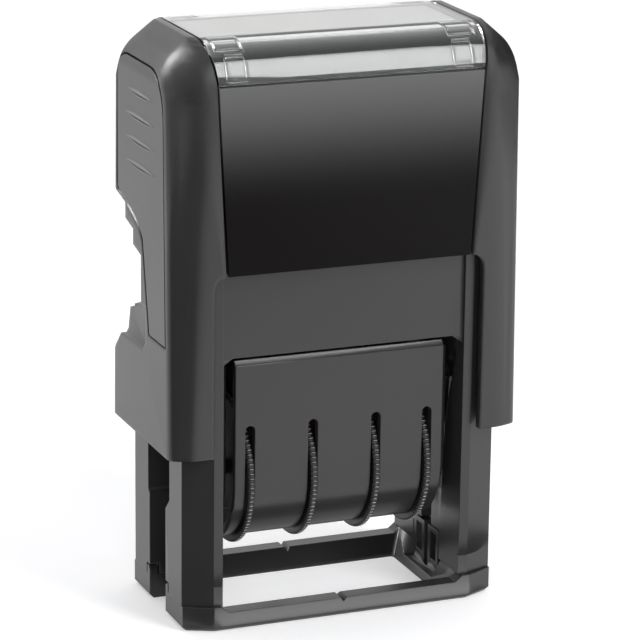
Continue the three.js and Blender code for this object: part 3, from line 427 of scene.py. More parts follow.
def knurled_nylon(name, colour):
    """Nylon thumb wheels: dark and satin, with a painted highlight that lightens the teeth at the rim."""
    material, tree = blank_material(name)
    place = add(tree, "ShaderNodeTexCoord").outputs["Object"]
    moved = add(tree, "ShaderNodeMapping", {"vector_type": "POINT"}, {
        "Vector": place, "Location": (0.0, 0.0, -WHEEL_HEIGHT), "Scale": (0.0, 1.0, 1.0)}).outputs["Vector"]
    reach = add(tree, "ShaderNodeVectorMath", {"operation": "LENGTH"}, {0: moved}).outputs["Value"]
    tip_highlight = add(tree, "ShaderNodeMapRange", None, {
        "Value": reach, "From Min": WHEEL_RADIUS - TIP_DEPTH[0],
        "From Max": WHEEL_RADIUS - TIP_DEPTH[1]}).outputs["Result"]
    specks = add(tree, "ShaderNodeTexNoise", None, {
        "Vector": place, "Scale": 1 / (0.4 * MM), "Detail": 2.0}).outputs["Fac"]
    # Painted highlight: the teeth near the rim are tinted light grey, as if they caught the light
    tint = add(tree, "ShaderNodeMix", {"data_type": "RGBA"}, {
        0: tip_highlight, 6: shade(colour, 0.8), 7: linear("#a6a6a2")}).outputs[2]
    bump = add(tree, "ShaderNodeBump", None, {
        "Height": specks, "Strength": 0.4, "Distance": 0.01 * MM}).outputs["Normal"]
    shader = add(tree, "ShaderNodeBsdfPrincipled", None, {
        "Base Color": tint, "Roughness": 0.42, "Normal": bump, "IOR": 1.53}).outputs["BSDF"]
    add(tree, "ShaderNodeOutputMaterial", None, {"Surface": shader})
    return material


def band_rubber(name, colour):
    """Vulcanised rubber: dull, with a dusty bloom in patches and a soft pebbled skin."""
    material, tree = blank_material(name)
    place = add(tree, "ShaderNodeTexCoord").outputs["Object"]
    bloom = add(tree, "ShaderNodeTexNoise", None, {
        "Vector": place, "Scale": 1 / (3 * MM), "Detail": 3.0}).outputs["Fac"]
    pebbles = add(tree, "ShaderNodeTexNoise", None, {
        "Vector": place, "Scale": 1 / (0.25 * MM), "Detail": 2.0}).outputs["Fac"]
    tint = add(tree, "ShaderNodeMix", {"data_type": "RGBA"}, {
        0: bloom, 6: shade(colour, 0.8), 7: shade(colour, 1.25)}).outputs[2]
    bump = add(tree, "ShaderNodeBump", None, {
        "Height": pebbles, "Strength": 0.5, "Distance": 0.02 * MM}).outputs["Normal"]
    shader = add(tree, "ShaderNodeBsdfPrincipled", None, {
        "Base Color": tint, "Roughness": 0.72, "Normal": bump, "IOR": 1.52}).outputs["BSDF"]
    add(tree, "ShaderNodeOutputMaterial", None, {"Surface": shader})
    return material


def drawn_steel(name, colour, roughness=0.26):
    """Drawn and turned steel: bright, with fine lines along the way that the tool ran."""
    material, tree = blank_material(name)
    place = add(tree, "ShaderNodeTexCoord").outputs["Object"]
    stretched = add(tree, "ShaderNodeMapping", None, {
        "Vector": place, "Scale": (1 / (0.1 * MM), 1 / (2 * MM), 1 / (2 * MM))}).outputs["Vector"]
    lines = add(tree, "ShaderNodeTexNoise", None, {
        "Vector": stretched, "Scale": 1.0, "Detail": 2.0}).outputs["Fac"]
    gloss = add(tree, "ShaderNodeMapRange", None, {
        "Value": lines, "To Min": roughness - 0.06, "To Max": roughness + 0.12}).outputs["Result"]
    bump = add(tree, "ShaderNodeBump", None, {
        "Height": lines, "Strength": 0.3, "Distance": 0.005 * MM}).outputs["Normal"]
    shader = add(tree, "ShaderNodeBsdfPrincipled", None, {
        "Base Color": colour, "Metallic": 1.0, "Roughness": gloss, "Normal": bump}).outputs["BSDF"]
    add(tree, "ShaderNodeOutputMaterial", None, {"Surface": shader})
    return material


def inked_foam(name):
    """Open-cell foam soaked with ink: dark, with pores that break up the damp sheen."""
    material, tree = blank_material(name)
    place = add(tree, "ShaderNodeTexCoord").outputs["Object"]
    pores = add(tree, "ShaderNodeTexVoronoi", None, {
        "Vector": place, "Scale": 1 / (0.35 * MM)}).outputs["Distance"]
    tint = add(tree, "ShaderNodeMix", {"data_type": "RGBA"}, {
        0: pores, 6: linear("#07080c"), 7: linear("#20222e")}).outputs[2]
    bump = add(tree, "ShaderNodeBump", None, {
        "Height": pores, "Strength": 0.8, "Distance": 0.1 * MM}).outputs["Normal"]
    shader = add(tree, "ShaderNodeBsdfPrincipled", None, {
        "Base Color": tint, "Roughness": 0.5, "Normal": bump, "IOR": 1.4}).outputs["BSDF"]
    add(tree, "ShaderNodeOutputMaterial", None, {"Surface": shader})
    return material


def studio_white(name, glow, gloss_glow):
    """A seamless white sweep: it glows to the camera, to clear plastic and to gloss, and keeps shadows."""
    material, tree = blank_material(name)
    path = add(tree, "ShaderNodeLightPath").outputs
    seen = add(tree, "ShaderNodeMath", {"operation": "MAXIMUM"}, {
        0: path["Is Camera Ray"], 1: path["Is Transmission Ray"]}).outputs["Value"]
    seen = add(tree, "ShaderNodeMath", {"operation": "MULTIPLY"}, {0: seen, 1: glow}).outputs["Value"]
    strength = add(tree, "ShaderNodeMath", {"operation": "MULTIPLY_ADD"}, {
        0: path["Is Glossy Ray"], 1: gloss_glow, 2: seen}).outputs["Value"]
    diffuse = add(tree, "ShaderNodeBsdfDiffuse", None, {"Color": linear("#e4e4e6")}).outputs["BSDF"]
    light = add(tree, "ShaderNodeEmission", None, {"Color": WHITE, "Strength": strength}).outputs["Emission"]
    both = add(tree, "ShaderNodeAddShader", None, {0: diffuse, 1: light}).outputs["Shader"]
    add(tree, "ShaderNodeOutputMaterial", None, {"Surface": both})
    return material


def flat_black(name):
    """Black card that soaks up light, for a dark area in the gloss."""
    material, tree = blank_material(name)
    shader = add(tree, "ShaderNodeBsdfDiffuse", None, {"Color": linear("#101010")}).outputs["BSDF"]
    add(tree, "ShaderNodeOutputMaterial", None, {"Surface": shader})
    return material


def light_table(name, radiance):
    """A lit white sheet of an even radiance, for a bright area in the gloss."""
    material, tree = blank_material(name)
    light = add(tree, "ShaderNodeEmission", None, {"Color": WHITE, "Strength": radiance}).outputs["Emission"]
    add(tree, "ShaderNodeOutputMaterial", None, {"Surface": light})
    return material


def studio_sky(name, front, behind):
    """A white studio for the camera, darker for the light itself in front of the object than behind it."""
    world = bpy.data.worlds.new(name)
    world.use_nodes = True
    tree = world.node_tree
    tree.nodes.clear()
    place = add(tree, "ShaderNodeTexCoord").outputs["Generated"]
    depth = add(tree, "ShaderNodeSeparateXYZ", None, {"Vector": place}).outputs["Y"]
    light = add(tree, "ShaderNodeMapRange", {"interpolation_type": "SMOOTHSTEP"}, {
        "Value": depth, "From Min": -0.4, "From Max": 0.5, "To Min": front, "To Max": behind}).outputs["Result"]
    seen = add(tree, "ShaderNodeLightPath").outputs["Is Camera Ray"]
    strength = add(tree, "ShaderNodeMix", {"data_type": "FLOAT"}, {0: seen, 2: light, 3: 1.0}).outputs[0]
    sky = add(tree, "ShaderNodeBackground", None, {"Color": WHITE, "Strength": strength}).outputs["Background"]
    add(tree, "ShaderNodeOutputWorld", None, {"Surface": sky})
    return world


def finishes():
    """Every finish of the stamp, made once and kept by name."""
    colours, shape = bpy.context.scene.stamp_colours, bpy.context.scene.stamp_shape
    made = bpy.data.materials
    recipes = {
        "cap_abs": lambda name: moulded_plastic(name, colours.body, shape.corner, shape.shoulder),
        "anthracite_abs": lambda name: moulded_plastic(name, colours.body, shape.edge),
        "inner_abs": lambda name: moulded_plastic(name, colours.inner, shape.edge, roughness=0.36),
        "panel_film": lambda name: gloss_film(name, colours.panel, colours.panel_reflection, *FADE),
        "window_acrylic": clear_acrylic,
        "index_card": lambda name: card_stock(name, colours.card),
        "wheel_nylon": lambda name: knurled_nylon(name, colours.inner),
        "type_rubber": lambda name: band_rubber(name, colours.band),
        "spring_wire": lambda name: drawn_steel(name, linear("#b9babc")),
        "turned_pin": lambda name: drawn_steel(name, linear("#c2c3c5"), roughness=0.3),
        "pad_foam": inked_foam,
    }
    return {name: made.get(name) or recipe(name) for name, recipe in recipes.items()}


# Forms of the cap

def arch(z, inset, radius, slant, wall=0.0):
    """Half-width of an arched form at a height, drawn in by a wall: upright, then an arc, then a straight slant."""
    z = np.asarray(z, float)
    start = arch_start(inset, radius, slant)
    inner = radius - wall
    on_arc = CAP_HALF_WIDTH - radius + np.sqrt(np.maximum(inner ** 2 - (z - start) ** 2, 0))
    slanted = CAP_HALF_WIDTH - inset + (HEIGHT - z) * math.tan(slant) - wall / math.cos(slant)
    curved = np.where(z <= start + inner * math.sin(slant), on_arc, slanted)
    return np.where(z <= start, CAP_HALF_WIDTH - wall, curved)


def half_width(z, wall=0.0):
    """Half-width of the CAD cap at a height, drawn in by a wall."""
    return arch(z, CROWN_INSET, ARCH_RADIUS, SLANT, wall)


def swell(z):
    """How far the cap's sides stand out from the CAD ones at a height, where the shoulders are filled out."""
    full = arch(z, FULL_INSET, FULL_RADIUS, FULL_SLANT)
    return bpy.context.scene.stamp_shape.fullness * (full - half_width(z))


def half_depth(z, wall=0.0):
    """Half-depth of the cap at a height, drawn in by a wall: upright, then a quarter circle over the shoulder."""
    rise = np.maximum(np.asarray(z, float) - SHOULDER_HEIGHT, 0)
    return TOP_HALF_DEPTH + np.sqrt(np.maximum((SHOULDER_RADIUS - wall) ** 2 - rise ** 2, 0))


def curve(start, corner, end, steps):
    """Points on a quadratic curve from a start towards a corner and on to an end, without the end itself."""
    t = np.linspace(0, 1, steps, endpoint=False)[:, None]
    start, corner, end = (np.array(point, float) for point in (start, corner, end))
    return start * (1 - t) ** 2 + 2 * corner * t * (1 - t) + end * t ** 2


# Side plates

PLATE_LOW, PLATE_HIGH = corners_of("side_plate_right")
PLATE_THICKNESS = 0.8 * MM
PLATE_EDGE = 0.18 * MM
PLATE_REAR_CORNER = 3.6 * MM
PLATE_FRONT_CORNER = 6.6 * MM
PLATE_FRONT_LEAN = 0.885 * MM
NECK_LOW = (-3.9 * MM, PLATE_LOW[2])
NECK_TOP = (-1.2 * MM, PLATE_LOW[2] + 13 * MM)
NECK_CORNER = (0.6 * MM, PLATE_LOW[2] + 15.6 * MM)
TAIL_START = (7.3 * MM, PLATE_LOW[2] + 17.4 * MM)
TAIL_END = (9.4 * MM, PLATE_LOW[2] + 18.2 * MM)
NECK_STEPS = 24
SHOULDER_CUTS = 14
SWELL_DEPTH = 0.6 * MM
PLATE_ROWS = (130, 290, 100)
PLATE_COLUMNS = 60
RIDGE_COUNT = 4
RIDGE_LOWEST = PLATE_LOW[2] + 22.5 * MM
RIDGE_PITCH = 3.4 * MM
RIDGE_LENGTH = 12.6 * MM
TOP_RIDGE_LENGTH = 10.4 * MM
RIDGE_WIDTH = 1 * MM
RIDGE_TAPER = 0.6
RIDGE_LEAST = 0.02
RIDGE_PROFILE = ((-1, -0.8, -0.35, -0.2, -0.05, 1), (0, 0.8, -0.5, -0.5, 1, 0))


def plate_edges():
    """Heights of a side plate's rows with the y of its front and rear edge: the rear one is an S over the hand."""
    low, top = PLATE_LOW[2], PLATE_HIGH[2]
    turn = np.linspace(0, 1, PLATE_ROWS[2])
    ridges = (RIDGE_LOWEST - RIDGE_WIDTH, RIDGE_LOWEST + RIDGE_COUNT * RIDGE_PITCH)
    z = np.unique(np.concatenate([
        np.linspace(low, top - PLATE_FRONT_CORNER, PLATE_ROWS[0]), np.linspace(*ridges, PLATE_ROWS[1]),
        top - PLATE_FRONT_CORNER * (1 - turn) ** 2]))
    path = np.concatenate([[NECK_LOW], curve(NECK_TOP, NECK_CORNER, TAIL_START, NECK_STEPS), [TAIL_START, TAIL_END]])
    rear = np.interp(z, path[:, 1], path[:, 0])
    front = PLATE_LOW[1] + PLATE_FRONT_LEAN * np.clip((z - low) / (ARCH_HEIGHT - low), 0, 1)

    def drawn_in(corner):
        return corner * (1 - np.sqrt(np.clip((top - z) / corner, 0, 1))) ** 2

    return z, front + drawn_in(PLATE_FRONT_CORNER), rear - drawn_in(PLATE_REAR_CORNER)


def ridge_relief(y, z, height):
    """Height of the grip ridges: lenses along Y with a gentle upper slope, a groove below it and a thin lower lip."""
    relief = np.zeros_like(y)
    for ridge in range(RIDGE_COUNT):
        length = TOP_RIDGE_LENGTH if ridge == RIDGE_COUNT - 1 else RIDGE_LENGTH
        share = np.clip(2 * y / length, -1, 1)
        lens = 1 - share ** 2
        middle = RIDGE_LOWEST + ridge * RIDGE_PITCH + 0.5 * RIDGE_WIDTH
        across = (z - middle) / (0.5 * RIDGE_WIDTH * np.maximum(lens, RIDGE_LEAST))
        relief += height * lens ** RIDGE_TAPER * np.interp(across, *RIDGE_PROFILE)
    return relief


def cap_skin(material):
    """The cap shell with level cuts through its shoulders, whose outer sides are then swelled to their full form."""
    piece = refined("cap_shell", "cap", material)
    shape = bmesh.new()
    shape.from_mesh(piece.data)
    for height in np.linspace(ARCH_HEIGHT, HEIGHT, SHOULDER_CUTS, endpoint=False):
        bmesh.ops.bisect_plane(
            shape, geom=[*shape.verts, *shape.edges, *shape.faces], dist=DOUBLES,
            plane_co=(0, 0, height), plane_no=(0, 0, 1))
    shape.to_mesh(piece.data)
    shape.free()
    points = read(piece.data.vertices, "co", 3)
    inwards = half_width(points[:, 2]) - np.abs(points[:, 0])
    reach = np.clip(1 - inwards / SWELL_DEPTH, 0, 1)
    points[:, 0] += np.sign(points[:, 0]) * swell(points[:, 2]) * reach
    piece.data.vertices.foreach_set("co", points.ravel())
    piece.data.update()
    piece.data.set_sharp_from_angle(angle=math.radians(SHOULDER_ANGLE))
    return piece


def side_plate(side, material):
    """A side plate as a grid between its front and rear edge, set out to the cap's side, with the ridges raised."""
    z, front, rear = (values[:, None] for values in plate_edges())
    share = np.linspace(0, 1, PLATE_COLUMNS)[None]
    y = front * (1 - share) + rear * share
    z = np.broadcast_to(z, y.shape)
    relief = ridge_relief(y, z, bpy.context.scene.stamp_shape.ridge)
    outer = np.stack([side * (half_width(z) + swell(z) + relief), y, z], 2)
    inner = np.stack([side * (half_width(z, PLATE_THICKNESS) + swell(z)), y, z], 2)
    name = "side_plate_" + ("left" if side < 0 else "right")
    piece = new_sheet(name + "_skin", outer, inner, "cap", "anthracite_plastic", material, (name,), PLATE_EDGE)
    # Painted highlight: the ridges are marked paler the further they stand out from the plate
    points = read(piece.data.vertices, "co", 3)
    proud = np.abs(points[:, 0]) - half_width(points[:, 2]) - swell(points[:, 2])
    mark_painted_highlight(piece, "POINT", np.clip(2 * proud / bpy.context.scene.stamp_shape.ridge, 0, 1))
    return piece


# Date cover

ROLL_AGREEMENT = 0.97
BEVEL_TURN = math.radians(17)
BEVEL_NORMAL = (0, -math.cos(BEVEL_TURN), math.sin(BEVEL_TURN))
BEVEL_FROM = 2 * WHEEL_HEIGHT - 2 * MM
BEVEL_HIGHLIGHT = 0.8


def date_cover(material):
    """The cover: its half pipe is shaded as a true roll, and its bevelled top edge as a soft one, with a painted
    highlight that makes it pale.
    """
    piece = refined("date_cover", "date_unit", material, ROUND_ANGLE)
    piece.modifiers.clear()
    mesh = piece.data
    normals, flat = read(mesh.corner_normals, "vector", 3), read(mesh.polygons, "normal", 3)
    flat = np.repeat(flat, read(mesh.polygons, "loop_total"), 0)
    points = read(mesh.vertices, "co", 3)[read(mesh.loops, "vertex_index")]
    radial = (points - (0, 0, WHEEL_HEIGHT)) * (0, 1, 1)
    radial /= np.maximum(np.linalg.norm(radial, axis=1, keepdims=True), MM * MM)
    facing = (radial * flat).sum(1)
    rolled = (points[:, 2] < WHEEL_HEIGHT + 0.01 * MM) & (np.abs(facing) > ROLL_AGREEMENT)
    normals[rolled] = radial[rolled] * np.sign(facing[rolled])[:, None]
    bevelled = (points[:, 2] > BEVEL_FROM) & (flat[:, 1] < -0.5) & (flat[:, 2] > 0.5)
    normals[bevelled] = BEVEL_NORMAL
    mesh.normals_split_custom_set(normals.tolist())
    # Painted highlight: the bevelled strip is marked to be tinted pale
    mark_painted_highlight(piece, "CORNER", np.where(bevelled, BEVEL_HIGHLIGHT, 0.0))
    return piece


# Window, card and panels

WINDOW_WALL = 0.9 * MM
WINDOW_SLOPE = 1.1 / 7.6
SHOULDER_STEPS = 28
CROWN_STEPS = 30
CARD_GRID = (40, 16)
CARD_TRIM = 0.2 * MM
CARD_BOW = 0.05 * MM
PANEL_GRID = (40, 4, 48)
FILM_WALL = 0.5 * MM
PANEL_SLOPE = 1.5 / 26.55
CLIP_BOXES = ((0.05, 0.5, 18.2 * MM), (0.62, 0.97, 19.2 * MM))
CLIP_LINE = 0.3 * MM
CLIP_FLANK = 0.08 * MM
CLIP_INNER = 15.1 * MM


def window_path(wall):
    """The window's profile as (y, z, share of the shoulder): up one shoulder, over the top and down the other."""
    radius = SHOULDER_RADIUS - wall
    low = math.asin((WINDOW_LOW[2] - SHOULDER_HEIGHT) / radius)
    turn = np.linspace(low, math.pi / 2, SHOULDER_STEPS)
    y = TOP_HALF_DEPTH + radius * np.cos(turn)
    z = SHOULDER_HEIGHT + radius * np.sin(turn)
    share = np.linspace(0, 1, SHOULDER_STEPS)
    middle = np.linspace(-TOP_HALF_DEPTH, TOP_HALF_DEPTH, CROWN_STEPS)[1:-1]
    return (np.concatenate([-y, middle, y[::-1]]),
            np.concatenate([z, np.full(middle.size, z[-1]), z[::-1]]),
            np.concatenate([share, np.full(middle.size, 2.0), share[::-1]]))


def clip_relief(x, share, height):
    """Two raised frames inside each end of each shoulder, where the clear window clips to the cap."""
    relief = np.zeros(np.broadcast(x, share).shape)
    length = SHOULDER_RADIUS * math.pi / 2
    for low, high, outer in CLIP_BOXES:
        across = np.minimum(np.abs(x) - CLIP_INNER, outer - np.abs(x))
        up = np.minimum(share - low, high - share) * length
        edge = np.minimum(across, up)
        relief = np.maximum(relief, height * np.clip(edge / CLIP_FLANK, 0, 1) * np.clip(
            (CLIP_LINE - edge) / CLIP_FLANK, 0, 1))
    return relief


def index_window(material):
    """The clear window as a sheet over both shoulders, thickened inwards, with its clip frames moulded inside."""
    grids = []
    columns = np.concatenate([np.linspace(-1, -0.7, 44), np.linspace(-0.68, 0.68, 24), np.linspace(0.7, 1, 44)])
    for wall in (0.0, WINDOW_WALL):
        y, z, share = window_path(wall)
        half = WINDOW_HIGH[0] - (HEIGHT - z) * WINDOW_SLOPE
        x = half[:, None] * columns[None]
        y, z = (np.repeat(values[:, None], columns.size, 1) for values in (y, z))
        if wall:
            height = clip_relief(x, share[:, None], bpy.context.scene.stamp_shape.clip)
            outward = np.stack([np.sign(y) * np.maximum(np.abs(y) - TOP_HALF_DEPTH, 0), z - SHOULDER_HEIGHT], 2)
            outward /= np.maximum(np.linalg.norm(outward, axis=2, keepdims=True), MM * MM)
            y, z = y - height * outward[..., 0], z - height * outward[..., 1]
        grids.append(np.stack([x, y, z], 2))
    return new_sheet("index_window_skin", *grids, "window", "clear_plastic", material, ("index_window",), 0.15 * MM)


def index_card(material):
    """The card as a thin sheet that bows up a little in the middle, as paper does in a slot."""
    x, y = np.meshgrid(
        np.linspace(CARD_LOW[0], CARD_HIGH[0], CARD_GRID[0]),
        np.linspace(CARD_LOW[1] + CARD_TRIM, CARD_HIGH[1] - CARD_TRIM, CARD_GRID[1]))
    bow = CARD_BOW * (np.cos(2 * x / CARD_HIGH[0]) - 1)
    lower = np.stack([x, y, np.full_like(x, CARD_LOW[2])], 2)
    upper = np.stack([x, y, CARD_HIGH[2] + bow], 2)
    return new_sheet("index_card_sheet", upper, lower, "cap", "white_card", material, ("index_card",), 0.03 * MM)


def film_panel(node, side, material):
    """A glossy insert: a grid of straight rows that widen upwards, on the cap's face and over the shoulder's start."""
    low, high = corners_of(node)
    face_rows, bend_rows, columns = PANEL_GRID
    z = np.concatenate([
        np.linspace(low[2], SHOULDER_HEIGHT, face_rows), np.linspace(SHOULDER_HEIGHT, high[2], bend_rows)[1:]])
    half = high[0] - (high[2] - z) * PANEL_SLOPE
    x = half[:, None] * np.linspace(-1, 1, columns)[None]
    z = np.repeat(z[:, None], columns, 1)
    outer = np.stack([x, side * half_depth(z), z], 2)
    inner = np.stack([x, side * half_depth(z, FILM_WALL), z], 2)
    return new_sheet(node + "_film", outer, inner, "cap", "gloss_panel", material, (node,), 0.12 * MM)


# Thumb wheels, spring and pad

DISC_THICKNESS = 0.95 * MM
DRUM_RADIUS = 4.2 * MM
HUB_RADIUS = 6.2 * MM
HUB_RECESS = 0.12 * MM
RIM_CHAMFER = 0.26 * MM
STEPS_PER_TOOTH = 6
BORE_GAP = 0.15 * MM
SPRING_WIRE = 0.45 * MM
SPRING_CLOSING = 0.8
STEPS_PER_TURN = 40
WIRE_SIDES = 12
PAD_GRID = (60, 30)
PAD_CROWN = 0.15 * MM


def thumb_wheel(wheel, material):
    """A thumb wheel: its profile from the bore over drum and disc, turned round X, with rounded teeth on the rim."""
    low, high = (corner[0] for corner in corners_of("thumb_wheel_" + wheel))
    disc_end, drum_end, inward = (low, high, 1) if wheel == "day_tens" else (high, low, -1)
    face = disc_end + inward * DISC_THICKNESS
    bore = SHAFT_RADIUS + BORE_GAP
    chamfer, rim = RIM_CHAMFER, WHEEL_RADIUS
    recessed = disc_end + inward * HUB_RECESS
    profile = np.array([
        (drum_end, bore, 0), (drum_end, DRUM_RADIUS - chamfer, 0), (drum_end - inward * chamfer, DRUM_RADIUS, 0),
        (face, DRUM_RADIUS, 0), (face, rim - 3 * chamfer, 0), (face, rim - chamfer, 0.5),
        (face - inward * chamfer, rim, 1), (disc_end + inward * chamfer, rim, 1),
        (disc_end, rim - chamfer, 0.5), (disc_end, rim - 3 * chamfer, 0), (disc_end, HUB_RADIUS, 0),
        (recessed, HUB_RADIUS - HUB_RECESS, 0), (recessed, bore, 0)])
    shape = bpy.context.scene.stamp_shape
    turn = np.linspace(0, 2 * math.pi, shape.teeth * STEPS_PER_TOOTH, endpoint=False)
    valley = np.sqrt(0.5 - 0.5 * np.cos(shape.teeth * turn)) * shape.tooth
    radius = profile[None, :, 1] - profile[None, :, 2] * valley[:, None]
    x = np.broadcast_to(profile[None, :, 0], radius.shape)
    points = np.stack([x, radius * np.cos(turn)[:, None], WHEEL_HEIGHT + radius * np.sin(turn)[:, None]], 2)
    faces = grid_faces(turn.size, len(profile), wrap_rows=True, wrap_columns=True)
    node = "thumb_wheel_" + wheel
    piece = new_piece(node + "_knurled", points, faces, "wheel_" + wheel, material, (node,))
    return crisp(facing_out(piece), TOOTH_ANGLE)


def return_spring(material):
    """The spring: a round wire swept along a helix whose end turns close up and lie flat."""
    radius = SPRING_HIGH[0] - SPRING_WIRE
    turns = bpy.context.scene.stamp_shape.turns
    share = np.linspace(0, 1, turns * STEPS_PER_TURN)
    angle = 2 * math.pi * turns * share
    rise = share - np.sin(2 * math.pi * share) / (2 * math.pi) * SPRING_CLOSING
    low, high = SPRING_LOW[2] + SPRING_WIRE, SPRING_HIGH[2] - SPRING_WIRE
    centre = np.stack([radius * np.cos(angle), radius * np.sin(angle), low + rise * (high - low)], 1)
    heading = np.gradient(centre, axis=0)
    heading /= np.linalg.norm(heading, axis=1, keepdims=True)
    outward = np.stack([np.cos(angle), np.sin(angle), np.zeros_like(angle)], 1)
    across = np.cross(heading, outward)
    ring = np.linspace(0, 2 * math.pi, WIRE_SIDES, endpoint=False)
    points = centre[:, None] + SPRING_WIRE * (
        np.cos(ring)[None, :, None] * outward[:, None] + np.sin(ring)[None, :, None] * across[:, None])
    faces = grid_faces(share.size, ring.size, wrap_columns=True).tolist()
    faces += [list(range(ring.size)), list(range((share.size - 1) * ring.size, share.size * ring.size))]
    piece = new_piece("return_spring_wire", points, faces, "cap", material, ("return_spring",))
    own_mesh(piece)
    return crisp(facing_out(piece), SHEET_ANGLE)


def ink_pad(material):
    """The foam pad: a block whose lower face crowns a little and whose edges the cutter has rounded."""
    x, y = np.meshgrid(
        np.linspace(PAD_LOW[0], PAD_HIGH[0], PAD_GRID[0]), np.linspace(PAD_LOW[1], PAD_HIGH[1], PAD_GRID[1]))
    crown = PAD_CROWN * (1 - (x / PAD_HIGH[0]) ** 4) * (1 - (y / PAD_HIGH[1]) ** 4)
    upper = np.stack([x, y, np.full_like(x, PAD_HIGH[2])], 2)
    lower = np.stack([x, y, PAD_LOW[2] + PAD_CROWN - crown], 2)
    return new_sheet("ink_pad_foam", upper, lower, "cartridge", "ink_foam", material, ("ink_pad",), 0.4 * MM)


# Steps of the build

class STAMP_OT_housing(bpy.types.Operator):
    """Finish the frame, the foot ring and the ink cartridge with its pad."""

    bl_idname = "stamp.housing"
    bl_label = "Frame, foot and cartridge"

    def execute(self, context):
        made = finishes()
        for node in ("frame", "foot_ring"):
            refined(node, "frame", made["anthracite_abs"])
        refined("ink_cartridge", "cartridge", made["inner_abs"])
        ink_pad(made["pad_foam"])
        return {"FINISHED"}


class STAMP_OT_cap(bpy.types.Operator):
    """Finish the cap shell, its side plates and the return spring inside it."""

    bl_idname = "stamp.cap"
    bl_label = "Cap and side plates"

    def execute(self, context):
        made = finishes()
        cap_skin(made["cap_abs"])
        for side in (-1, 1):
            side_plate(side, made["anthracite_abs"])
        return_spring(made["spring_wire"])
        return {"FINISHED"}


class STAMP_OT_panels(bpy.types.Operator):
    """Make the glossy panels, the clear window and the card under it."""

    bl_idname = "stamp.panels"
    bl_label = "Panels, window and card"

    def execute(self, context):
        made = finishes()
        film_panel("front_panel", -1, made["panel_film"])
        film_panel("rear_panel", 1, made["panel_film"])
        index_window(made["window_acrylic"])
        index_card(made["index_card"])
        return {"FINISHED"}


class STAMP_OT_date_unit(bpy.types.Operator):
    """Finish the cover, carrier, shaft and pins, and make the wheels and bands."""

    bl_idname = "stamp.date_unit"
    bl_label = "Date unit"

    def execute(self, context):
        made = finishes()
        date_cover(made["anthracite_abs"])
        refined("type_carrier", "date_unit", made["inner_abs"])
        for pin in ("wheel_shaft", "axle_pin_left", "axle_pin_right"):
            refined(pin, "date_unit", made["turned_pin"], ROUND_ANGLE)
        for wheel in WHEELS:
            refined("type_band_" + wheel, "date_unit", made["type_rubber"])
            thumb_wheel(wheel, made["wheel_nylon"])
        return {"FINISHED"}


# Stage: camera angles in degrees, its place in millimetres and its focal length in pixels, then sizes in metres

CAMERA_ANGLES = (-22.18, 16.21, 0.73)
CAMERA_PLACE = (-171.43, -422.54, 173.01)
FOCAL_PIXELS = 3336.27
PHOTO_PIXELS = 640
FLOOR_REACH = 1.5
FLOOR_GLOW = (0.36, 0.37)

# Lamps: direction from the object, distance, width, height and radiance
LAMPS = {
    "corner_lamp": ((-0.62, 0.52, 0.57), 0.6, 0.2, 0.34, 18),
    "overhead_lamp": ((0, 0.05, 1), 0.9, 0.6, 0.6, 1.4),
    "window_lamp": ((0.4, -0.74, 0.54), 0.7, 0.22, 0.6, 7),
    "camera_lamp": ((-0.36, -0.89, 0.28), 0.7, 0.35, 0.35, 3),
}

# Cards that gloss sees: their radiances, upright ones by direction, distance, width and height, and level ones by
# two corners and rise
RADIANCES = {"stage_grey": 0.45, "stage_pale": 0.7, "stage_light": 4.2}
UPRIGHT_CARDS = (
    ("dark_front", "stage_black", (-0.42, -0.87, -0.1), 0.3, 0.16, 0.26),
    ("dark_right", "stage_black", (0.9, 0.42, 0.08), 0.3, 0.28, 0.3),
    ("grey_rear", "stage_pale", (-0.24, 0.89, 0.39), 0.3, 0.14, 0.1),
)
LYING_CARDS = (
    ("dark_floor", "stage_black", (-0.5, -0.5), (-0.021, -0.0133), 0.3 * MM),
    ("grey_front", "stage_grey", (-0.05, -0.4), (0.085, -0.165), 0.3 * MM),
    ("dark_band", "stage_black", (-0.024, -0.0155), (0.03, -0.0108), 6.5 * MM),
    ("light_floor", "stage_light", (-0.018, -0.0195), (0.024, -0.0135), 0.3 * MM),
    ("ring_floor", "stage_grey", (-0.024, -0.0125), (0.024, 0.013), 0.3 * MM),
)


def photo_matrix():
    """Place and turn of the camera, fitted to the photograph: yaw about Z, pitch down, a small roll."""
    yaw, pitch, roll = (math.radians(angle) for angle in CAMERA_ANGLES)
    back = Vector((math.sin(yaw) * math.cos(pitch), -math.cos(yaw) * math.cos(pitch), math.sin(pitch)))
    right = (-back).cross(Vector((0, 0, 1))).normalized()
    up = right.cross(-back)
    level = Matrix((right, up, back)).transposed().to_4x4()
    place = Matrix.Translation(Vector(CAMERA_PLACE) * MM)
    return place @ level @ Matrix.Rotation(roll, 4, "Z")


def soft_box(name, direction, distance, width, height, radiance):
    """A rectangular lamp in a direction from the object, looking at it, as bright as a surface of that radiance."""
    target = Vector((0, 0, HEIGHT / 2))
    lamp = bpy.data.lights.new(name, "AREA")
    lamp.shape = "RECTANGLE"
    lamp.size, lamp.size_y = width, height
    lamp.energy = radiance * math.pi * width * height
    holder = linked(name, lamp)
    holder.location = target + Vector(direction).normalized() * distance
    holder.rotation_euler = (target - holder.location).to_track_quat("-Z", "Y").to_euler()
    return holder


def upright_card(name, material, direction, distance, width, height):
    """A flat card in a direction from the object, facing it, which only gloss sees."""
    target = Vector((0, 0, HEIGHT / 2))
    place = target + Vector(direction).normalized() * distance
    turned = (target - place).to_track_quat("-Z", "Y").to_matrix().to_4x4()
    x, y = width / 2, height / 2
    corners = [Matrix.Translation(place) @ turned @ Vector(corner) for corner in rectangle((-x, -y), (x, y), 0)]
    gloss_card(name, material, corners)


def lying_card(name, material, low, high, rise):
    """A level card between two corners, a hair above the floor or higher, which only gloss sees."""
    gloss_card(name, material, rectangle(low, high, rise))


def rectangle(low, high, rise):
    """The four corners of a level rectangle, from the lowest and the highest."""
    return [(low[0], low[1], rise), (high[0], low[1], rise), (high[0], high[1], rise), (low[0], high[1], rise)]


